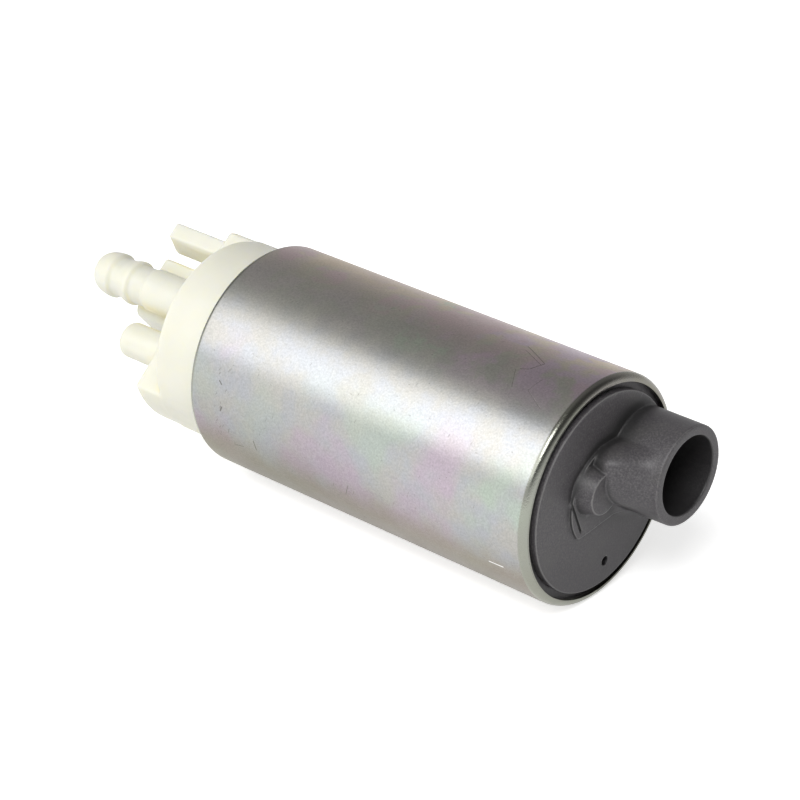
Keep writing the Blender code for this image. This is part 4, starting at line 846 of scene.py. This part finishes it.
def grained(name, colour, metallic, roughness):
    """A finish whose colour, gloss and surface all carry a fine grain."""
    material, tree, shader = new_material(name)
    coordinates = object_space(tree)
    fine = noise(tree, coordinates, INNER_GRAIN)
    tint = ramp(tree, fine, ((INNER_TINT[0], shaded(colour, 1.0 - INNER_SPREAD)),
                             (INNER_TINT[1], shaded(colour, 1.0 + INNER_SPREAD))))
    tree.links.new(tint, shader.inputs["Base Color"])
    gloss = remap(tree, noise(tree, coordinates, INNER_GRAIN / 4), 0.0, 1.0,
                  roughness - INNER_GLOSS, roughness + INNER_GLOSS, smooth=False)
    tree.links.new(gloss, shader.inputs["Roughness"])
    shader.inputs["Metallic"].default_value = metallic
    bump(tree, shader, fine, *INNER_RELIEF)
    return material


def mesh_mark(tree, name):
    node = tree.nodes.new("ShaderNodeAttribute")
    node.attribute_name = name
    return node.outputs["Fac"]


def can_coordinates(tree):
    """Millimetres from the lip along the can, and round it from its top towards the front."""
    split = tree.nodes.new("ShaderNodeSeparateXYZ")
    tree.links.new(object_space(tree), split.inputs["Vector"])
    along = combine(tree, "MULTIPLY_ADD", split.outputs["X"], 1000.0, -LIP_PLANE)
    rise = combine(tree, "SUBTRACT", split.outputs["Z"], SHAFT_HEIGHT * MM)
    forwards = combine(tree, "MULTIPLY", split.outputs["Y"], -1.0)
    turn = combine(tree, "ARCTAN2", forwards, rise)
    return along, combine(tree, "MULTIPLY", turn, CAN_R)


def stroke(tree, along, around, start, end, width):
    """1 on a straight scratch between two (along, around) points and 0 off it."""
    run = (end[0] - start[0], end[1] - start[1])
    length = math.hypot(*run)
    run = (run[0] / length, run[1] / length)
    da = combine(tree, "SUBTRACT", along, (start[0] + end[0]) / 2)
    dr = combine(tree, "SUBTRACT", around, (start[1] + end[1]) / 2)
    lengthwise = combine(tree, "MULTIPLY_ADD", dr, run[1], combine(tree, "MULTIPLY", da, run[0]))
    sideways = combine(tree, "MULTIPLY_ADD", dr, run[0], combine(tree, "MULTIPLY", da, -run[1]))
    lengthwise = combine(tree, "ABSOLUTE", lengthwise)
    sideways = combine(tree, "ABSOLUTE", sideways)
    inside = remap(tree, lengthwise, length / 2 - width, length / 2, 1.0, 0.0)
    return product(tree, inside, remap(tree, sideways, width * STROKE_CORE, width, 1.0, 0.0))


def nicks(tree, along, around, cell, tilt, rarity):
    """Short random marks: rare cells of a stretched Voronoi pattern."""
    point = tree.nodes.new("ShaderNodeCombineXYZ")
    slanted = combine(tree, "MULTIPLY_ADD", around, tilt, along)
    tree.links.new(combine(tree, "DIVIDE", slanted, cell[0]), point.inputs["X"])
    tree.links.new(combine(tree, "DIVIDE", around, cell[1]), point.inputs["Y"])
    cells = tree.nodes.new("ShaderNodeTexVoronoi")
    cells.voronoi_dimensions = "2D"
    cells.inputs["Scale"].default_value = 1.0
    tree.links.new(point.outputs["Vector"], cells.inputs["Vector"])
    core = remap(tree, cells.outputs["Distance"], *NICK_CORE)
    pick = tree.nodes.new("ShaderNodeSeparateColor")
    tree.links.new(cells.outputs["Color"], pick.inputs["Color"])
    return product(tree, core, combine(tree, "GREATER_THAN", pick.outputs["Red"], rarity))


def zinc_sheen(tree, along, around, wisp):
    """Olive, straw, rose, violet and moss over the top, lilac and green on the sides; below, a brown
    that is partly painted shade.
    """
    coordinates = object_space(tree)
    cloud = noise(tree, coordinates, *ZINC_CLOUD)
    drift = noise(tree, coordinates, *ZINC_DRIFT)
    patches = noise(tree, coordinates, *ZINC_PATCHES)
    sides = combine(tree, "MAXIMUM", remap(tree, around, *FRONT_ROUND),
                    remap(tree, around, *FAR_ROUND))
    near_side = remap(tree, around, *NEAR_SIDE_ROUND)
    top = product(tree, remap(tree, around, *PATCHES_ROUND), near_side)
    down = combine(tree, "ABSOLUTE", around)
    ragged = combine(tree, "MULTIPLY_ADD", drift, BROWN_RAGGED, down)
    tints = (
        (ZINC_OLIVE, remap(tree, around, *OLIVE_ROUND), OLIVE_SHARE),
        (ZINC_LILAC, remap(tree, cloud, *LILAC_CLOUD), sides, LILAC_SHARE),
        (ZINC_GREEN, remap(tree, cloud, *GREEN_CLOUD), sides, remap(tree, along, *GREEN_ALONG)),
        (ZINC_STRAW, remap(tree, around, *STRAW_ROUND), near_side,
         remap(tree, drift, *STRAW_DRIFT)),
        (ZINC_VIOLET, remap(tree, patches, *VIOLET_PATCHES), top,
         remap(tree, along, *VIOLET_ALONG)),
        (ZINC_MOSS, remap(tree, patches, *MOSS_PATCHES), top),
        # Brown below, a warm tint that also paints shade on the underside
        (ZINC_BROWN_SHADE, remap(tree, ragged, *BROWN_ROUND), BROWN_SHARE),
        (ZINC_ROSE, remap(tree, around, *ROSE_ROUND), remap(tree, drift, *ROSE_DRIFT), near_side,
         ROSE_SHARE),
    )
    colour = mix_colour(tree, remap(tree, wisp, *WARM_WISP), ZINC_COOL, ZINC_WARM)
    for tint, *shares in tints:
        colour = mix_colour(tree, product(tree, *shares), colour, tint)
    return colour


def zinc_marks(tree, along, around):
    """Dark handling marks: random nicks, scuffs near the rear edge, and the scratches."""
    small, blunt = (nicks(tree, along, around, *kind) for kind in ZINC_NICKS)
    marks = product(tree, combine(tree, "MAXIMUM", small, blunt), NICK_SHARE)
    fades = [remap(tree, along, *fade) for fade in SCUFFS_ALONG]
    fades += [remap(tree, around, *fade) for fade in SCUFFS_ROUND]
    scuffs = product(tree, nicks(tree, along, around, *ZINC_SCUFFS), SCUFF_SHARE,
                     product(tree, *fades))
    marks = combine(tree, "MAXIMUM", marks, scuffs)
    for scratch in ZINC_SCRATCHES:
        marks = combine(tree, "MAXIMUM", marks, stroke(tree, along, around, *scratch))
    return marks


def zinc_finish():
    """Zinc plate with a passivated sheen, grain and handling marks, darker, smoother rolled ends, and
    painted shade: towards the underside, as dark reflection on the tops of the rolled ends, and as a
    line at the rear crimp.
    """
    material, tree, shader = new_material("zinc_plate")
    coordinates = object_space(tree)
    along, around = can_coordinates(tree)
    wisp = noise(tree, coordinates, *ZINC_WISP)
    grain = noise(tree, coordinates, *ZINC_GRAIN)
    # Painted shade: the light factor is the grain's tone times a darkening towards the underside that
    # starts higher towards the rear
    down = combine(tree, "ADD", combine(tree, "ABSOLUTE", around),
                   remap(tree, along, *SHADE_ALONG))
    light = product(tree, remap(tree, grain, *GRAIN_LIGHT, smooth=False),
                    remap(tree, down, *SHADE_ROUND))
    sheen_with_painted_shade = tree.nodes.new("ShaderNodeVectorMath")
    sheen_with_painted_shade.operation = "SCALE"
    tree.links.new(zinc_sheen(tree, along, around, wisp), sheen_with_painted_shade.inputs["Vector"])
    tree.links.new(light, sheen_with_painted_shade.inputs["Scale"])

    marks = zinc_marks(tree, along, around)
    colour = mix_colour(tree, product(tree, marks, MARK_SHARE), sheen_with_painted_shade.outputs["Vector"], ZINC_MARK)
    chip = stroke(tree, along, around, *ZINC_CHIP)
    colour = mix_colour(tree, chip, colour, ZINC_BRIGHT)
    rolled = combine(tree, "MAXIMUM", remap(tree, along, *LIP_BAND),
                     remap(tree, along, *CRIMP_BAND))
    # Painted dark reflection on the tops of the rolled ends
    roll_with_reflection = mix_colour(tree, remap(tree, around, *ROLLED_REFLECTION_ROUND), ZINC_ROLLED, ZINC_ROLLED_DARK_REFLECTION)
    colour = mix_colour(tree, product(tree, rolled, ROLLED_SHARE), colour, roll_with_reflection)
    # Painted shade line at the rear crimp
    rim_shade = product(tree, *(remap(tree, along, *fade) for fade in RIM_SHADE_BAND))
    colour = mix_colour(tree, rim_shade, colour, ZINC_RIM_SHADE)
    tree.links.new(colour, shader.inputs["Base Color"])

    shader.inputs["Metallic"].default_value = 1.0
    satin = combine(tree, "ADD", remap(tree, wisp, *SATIN_WISP, smooth=False),
                    remap(tree, along, *SATIN_ALONG, smooth=False))
    gloss = combine(tree, "ADD", satin, product(tree, rolled, ROLLED_SMOOTHER))
    gloss = combine(tree, "MULTIPLY_ADD", marks, MARK_ROUGHER, gloss)
    tree.links.new(gloss, shader.inputs["Roughness"])
    bump(tree, shader, combine(tree, "MULTIPLY_ADD", marks, MARK_DEPTH, grain), *ZINC_RELIEF)
    return material


def cream_finish():
    """Natural acetal, a little translucent, with the faint flow marks of its mould and painted warm
    bounce light in its hollows.
    """
    material, tree, shader = new_material("cream_acetal")
    coordinates = object_space(tree)
    flow = noise(tree, coordinates, *CREAM_FLOW)
    grain = noise(tree, coordinates, *CREAM_GRAIN)
    # Painted warm bounce light in the hollows
    hollow = remap(tree, mesh_mark(tree, "hollow"), *CREAM_HOLLOW_LIGHT_MARK)
    tint = mix_colour(tree, hollow, ramp(tree, flow, CREAM_STOPS), CREAM_HOLLOW_LIGHT)
    tree.links.new(tint, shader.inputs["Base Color"])
    tree.links.new(remap(tree, grain, *CREAM_GLOSS, smooth=False), shader.inputs["Roughness"])
    shader.inputs["Subsurface Weight"].default_value = 0.7
    shader.inputs["Subsurface Radius"].default_value = (1.0, 0.9, 0.55)
    shader.inputs["Subsurface Scale"].default_value = 0.003
    shader.inputs["Specular IOR Level"].default_value = 0.45
    relief = combine(tree, "MULTIPLY_ADD", grain, CREAM_GRAIN_SHARE, flow)
    bump(tree, shader, relief, *CREAM_RELIEF)
    return material


def graphite_finish():
    """Mineral filled nylon: dark, matte, with a salt and pepper grain, lighter edges that are partly
    scuffed wear and partly painted highlight, and painted shade in hollows, in the neck's bore and
    towards the bottom.
    """
    material, tree, shader = new_material("graphite_nylon")
    coordinates = object_space(tree)
    grain = noise(tree, coordinates, *NYLON_GRAIN)
    patches = noise(tree, coordinates, *NYLON_PATCHES)
    tint = ramp(tree, grain, NYLON_STOPS)
    tint = mix_colour(tree, remap(tree, patches, *WORN_PATCHES), tint, NYLON_WORN)
    # Lighter edges: partly scuffed wear, partly painted highlight
    rubbed_and_highlight = product(tree, remap(tree, mesh_mark(tree, "edge"), *RUBBED_AND_HIGHLIGHT_MARK), RUBBED_AND_HIGHLIGHT_SHARE)
    tint = mix_colour(tree, rubbed_and_highlight, tint, NYLON_RUBBED_AND_HIGHLIGHT)
    # Painted shade in the hollows
    hollow = remap(tree, mesh_mark(tree, "hollow"), *NYLON_HOLLOW_SHADE_MARK)
    tint = mix_colour(tree, hollow, tint, NYLON_HOLLOW_SHADE)
    split = tree.nodes.new("ShaderNodeSeparateXYZ")
    tree.links.new(coordinates, split.inputs["Vector"])
    from_y = combine(tree, "SUBTRACT", split.outputs["Y"], NECK_AT[0] * MM)
    from_z = combine(tree, "SUBTRACT", split.outputs["Z"], (SHAFT_HEIGHT + NECK_AT[1]) * MM)
    squared = combine(tree, "MULTIPLY_ADD", from_y, from_y, product(tree, from_z, from_z))
    from_axis = combine(tree, "SQRT", squared)
    # Painted shade inside the neck's bore
    bore = remap(tree, from_axis, (NECK_BORE_R + NECK_BORE_EDGE) * MM, NECK_BORE_R * MM, 0.0,
                 BORE_SHADE_SHARE)
    tint = mix_colour(tree, bore, tint, NYLON_BORE_SHADE)
    # Painted shade towards the bottom
    low = remap(tree, split.outputs["Z"], (SHAFT_HEIGHT - LOW_SHADE_REACH) * MM, SHAFT_HEIGHT * MM,
                LOW_SHADE_SHARE, 0.0)
    tint = mix_colour(tree, low, tint, NYLON_LOW_SHADE)
    tree.links.new(tint, shader.inputs["Base Color"])
    tree.links.new(remap(tree, grain, *NYLON_GLOSS, smooth=False), shader.inputs["Roughness"])
    shader.inputs["Specular IOR Level"].default_value = 0.5
    bump(tree, shader, grain, *NYLON_RELIEF)
    return material


def copy_node(node, ending, finishes):
    """A copy of a CAD node's mesh that stands for it and can change shape."""
    rows = frame["record"]["subparts"]
    slot = next(row["material_slot"] for row in rows if row["node"] == node)
    obj = bpy.data.objects.new(node + ending, nodes[node].data.copy())
    bpy.context.scene.collection.objects.link(obj)
    obj.data.materials.clear()
    obj.data.materials.append(finishes[slot])
    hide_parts(node)
    return obj


def make_springs_and_leads(finishes):
    """Copies of the coil springs and brush leads that the joints deform: the springs attached to the
    pump with meshes of their own, the leads with their placement baked in.
    """
    for joint in frame["record"]["behaviour"]["joints"]:
        for row in joint.get("deforming_nodes", []):
            node = row["node"]
            if row["mode"] == "scale_x":
                spring = copy_node(node, "_wound", finishes)
                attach(spring, "pump")
                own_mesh(spring)
            else:
                lead = copy_node(node, "_laid", finishes)
                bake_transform(lead)


def dress_inner_nodes():
    """Gives every CAD node that stays its own slot's finish, and returns the finishes."""
    finishes = {}
    for slot, (colour, metallic, roughness) in SLOT_FINISHES.items():
        finishes[slot] = grained(slot + "_finish", colour, metallic, roughness)
    for row in frame["record"]["subparts"]:
        finish = finishes.get(row["material_slot"])
        if finish:
            data = nodes[row["node"]].data
            data.materials.clear()
            data.materials.append(finish)
    return finishes


def make_floor():
    data = bpy.data.meshes.new("floor")
    corners = [(x * FLOOR_HALF, y * FLOOR_HALF, 0.0) for x, y in ((-1, -1), (1, -1), (1, 1), (-1, 1))]
    data.from_pydata(corners, [], [(0, 1, 2, 3)])
    floor = bpy.data.objects.new("floor", data)
    bpy.context.scene.collection.objects.link(floor)
    material, tree, shader = new_material("floor_paper")
    shader.inputs["Base Color"].default_value = FLOOR_WHITE
    shader.inputs["Roughness"].default_value = 0.9
    shader.inputs["Specular IOR Level"].default_value = 0.1
    shader.inputs["Emission Color"].default_value = (1.0, 1.0, 1.0, 1.0)
    path = tree.nodes.new("ShaderNodeLightPath")
    mirrored = combine(tree, "MAXIMUM", path.outputs["Is Glossy Ray"],
                       path.outputs["Is Transmission Ray"])
    mirrored = product(tree, mirrored, FLOOR_GLOW_REFLECTED)
    glow = combine(tree, "MULTIPLY_ADD", path.outputs["Is Camera Ray"], FLOOR_GLOW, mirrored)
    tree.links.new(glow, shader.inputs["Emission Strength"])
    data.materials.append(material)


def area_light(name, direction, distance, size, power):
    """Soft box that looks at the middle of the pump, its first side along the shaft."""
    data = bpy.data.lights.new(name, "AREA")
    data.shape = "RECTANGLE"
    data.size = size[0]
    data.size_y = size[1]
    data.energy = power
    light = bpy.data.objects.new(name, data)
    aim = Vector((0.0, 0.0, SHAFT_HEIGHT * MM))
    back = Vector(direction).normalized()
    side = (Vector((1.0, 0.0, 0.0)) - back * back.x).normalized()
    turn = Matrix((side, back.cross(side), back)).transposed().to_4x4()
    light.matrix_world = Matrix.Translation(aim + back * distance) @ turn
    bpy.context.scene.collection.objects.link(light)


def light_the_scene():
    """White horizon that falls off overhead, a large soft box in front and a small one above."""
    world = bpy.data.worlds.new("studio")
    bpy.context.scene.world = world
    world.use_nodes = True
    tree = world.node_tree
    background = tree.nodes["Background"]
    direction = tree.nodes.new("ShaderNodeTexCoord").outputs["Generated"]
    split = tree.nodes.new("ShaderNodeSeparateXYZ")
    tree.links.new(direction, split.inputs["Vector"])
    height = ramp(tree, split.outputs["Z"], SKY_STOPS)
    side = remap(tree, split.outputs["Y"], *FAR_SIDE, smooth=False)
    far = ramp(tree, side, FAR_STOPS)
    mixed = tree.nodes.new("ShaderNodeMix")
    mixed.data_type = "RGBA"
    mixed.blend_type = "MULTIPLY"
    mixed.inputs["Factor"].default_value = 1.0
    tree.links.new(height, mixed.inputs["A"])
    tree.links.new(far, mixed.inputs["B"])
    dim = product(tree, remap(tree, split.outputs["X"], *NEAR_END_SIDE),
                  remap(tree, split.outputs["Z"], *NEAR_END_HEIGHT), NEAR_END_DIM)
    dimmed = mix_colour(tree, dim, mixed.outputs["Result"], BLACK)
    tree.links.new(dimmed, background.inputs["Color"])
    background.inputs["Strength"].default_value = 1.0
    for lamp in LAMPS:
        area_light(*lamp)
    bpy.context.scene.view_settings.view_transform = "Standard"


def main():
    set_up_camera()
    make_floor()
    light_the_scene()
    make_housing(zinc_finish())
    make_inlet_cover(graphite_finish())
    make_outlet_cap(cream_finish())
    finishes = dress_inner_nodes()
    make_springs_and_leads(finishes)


main()
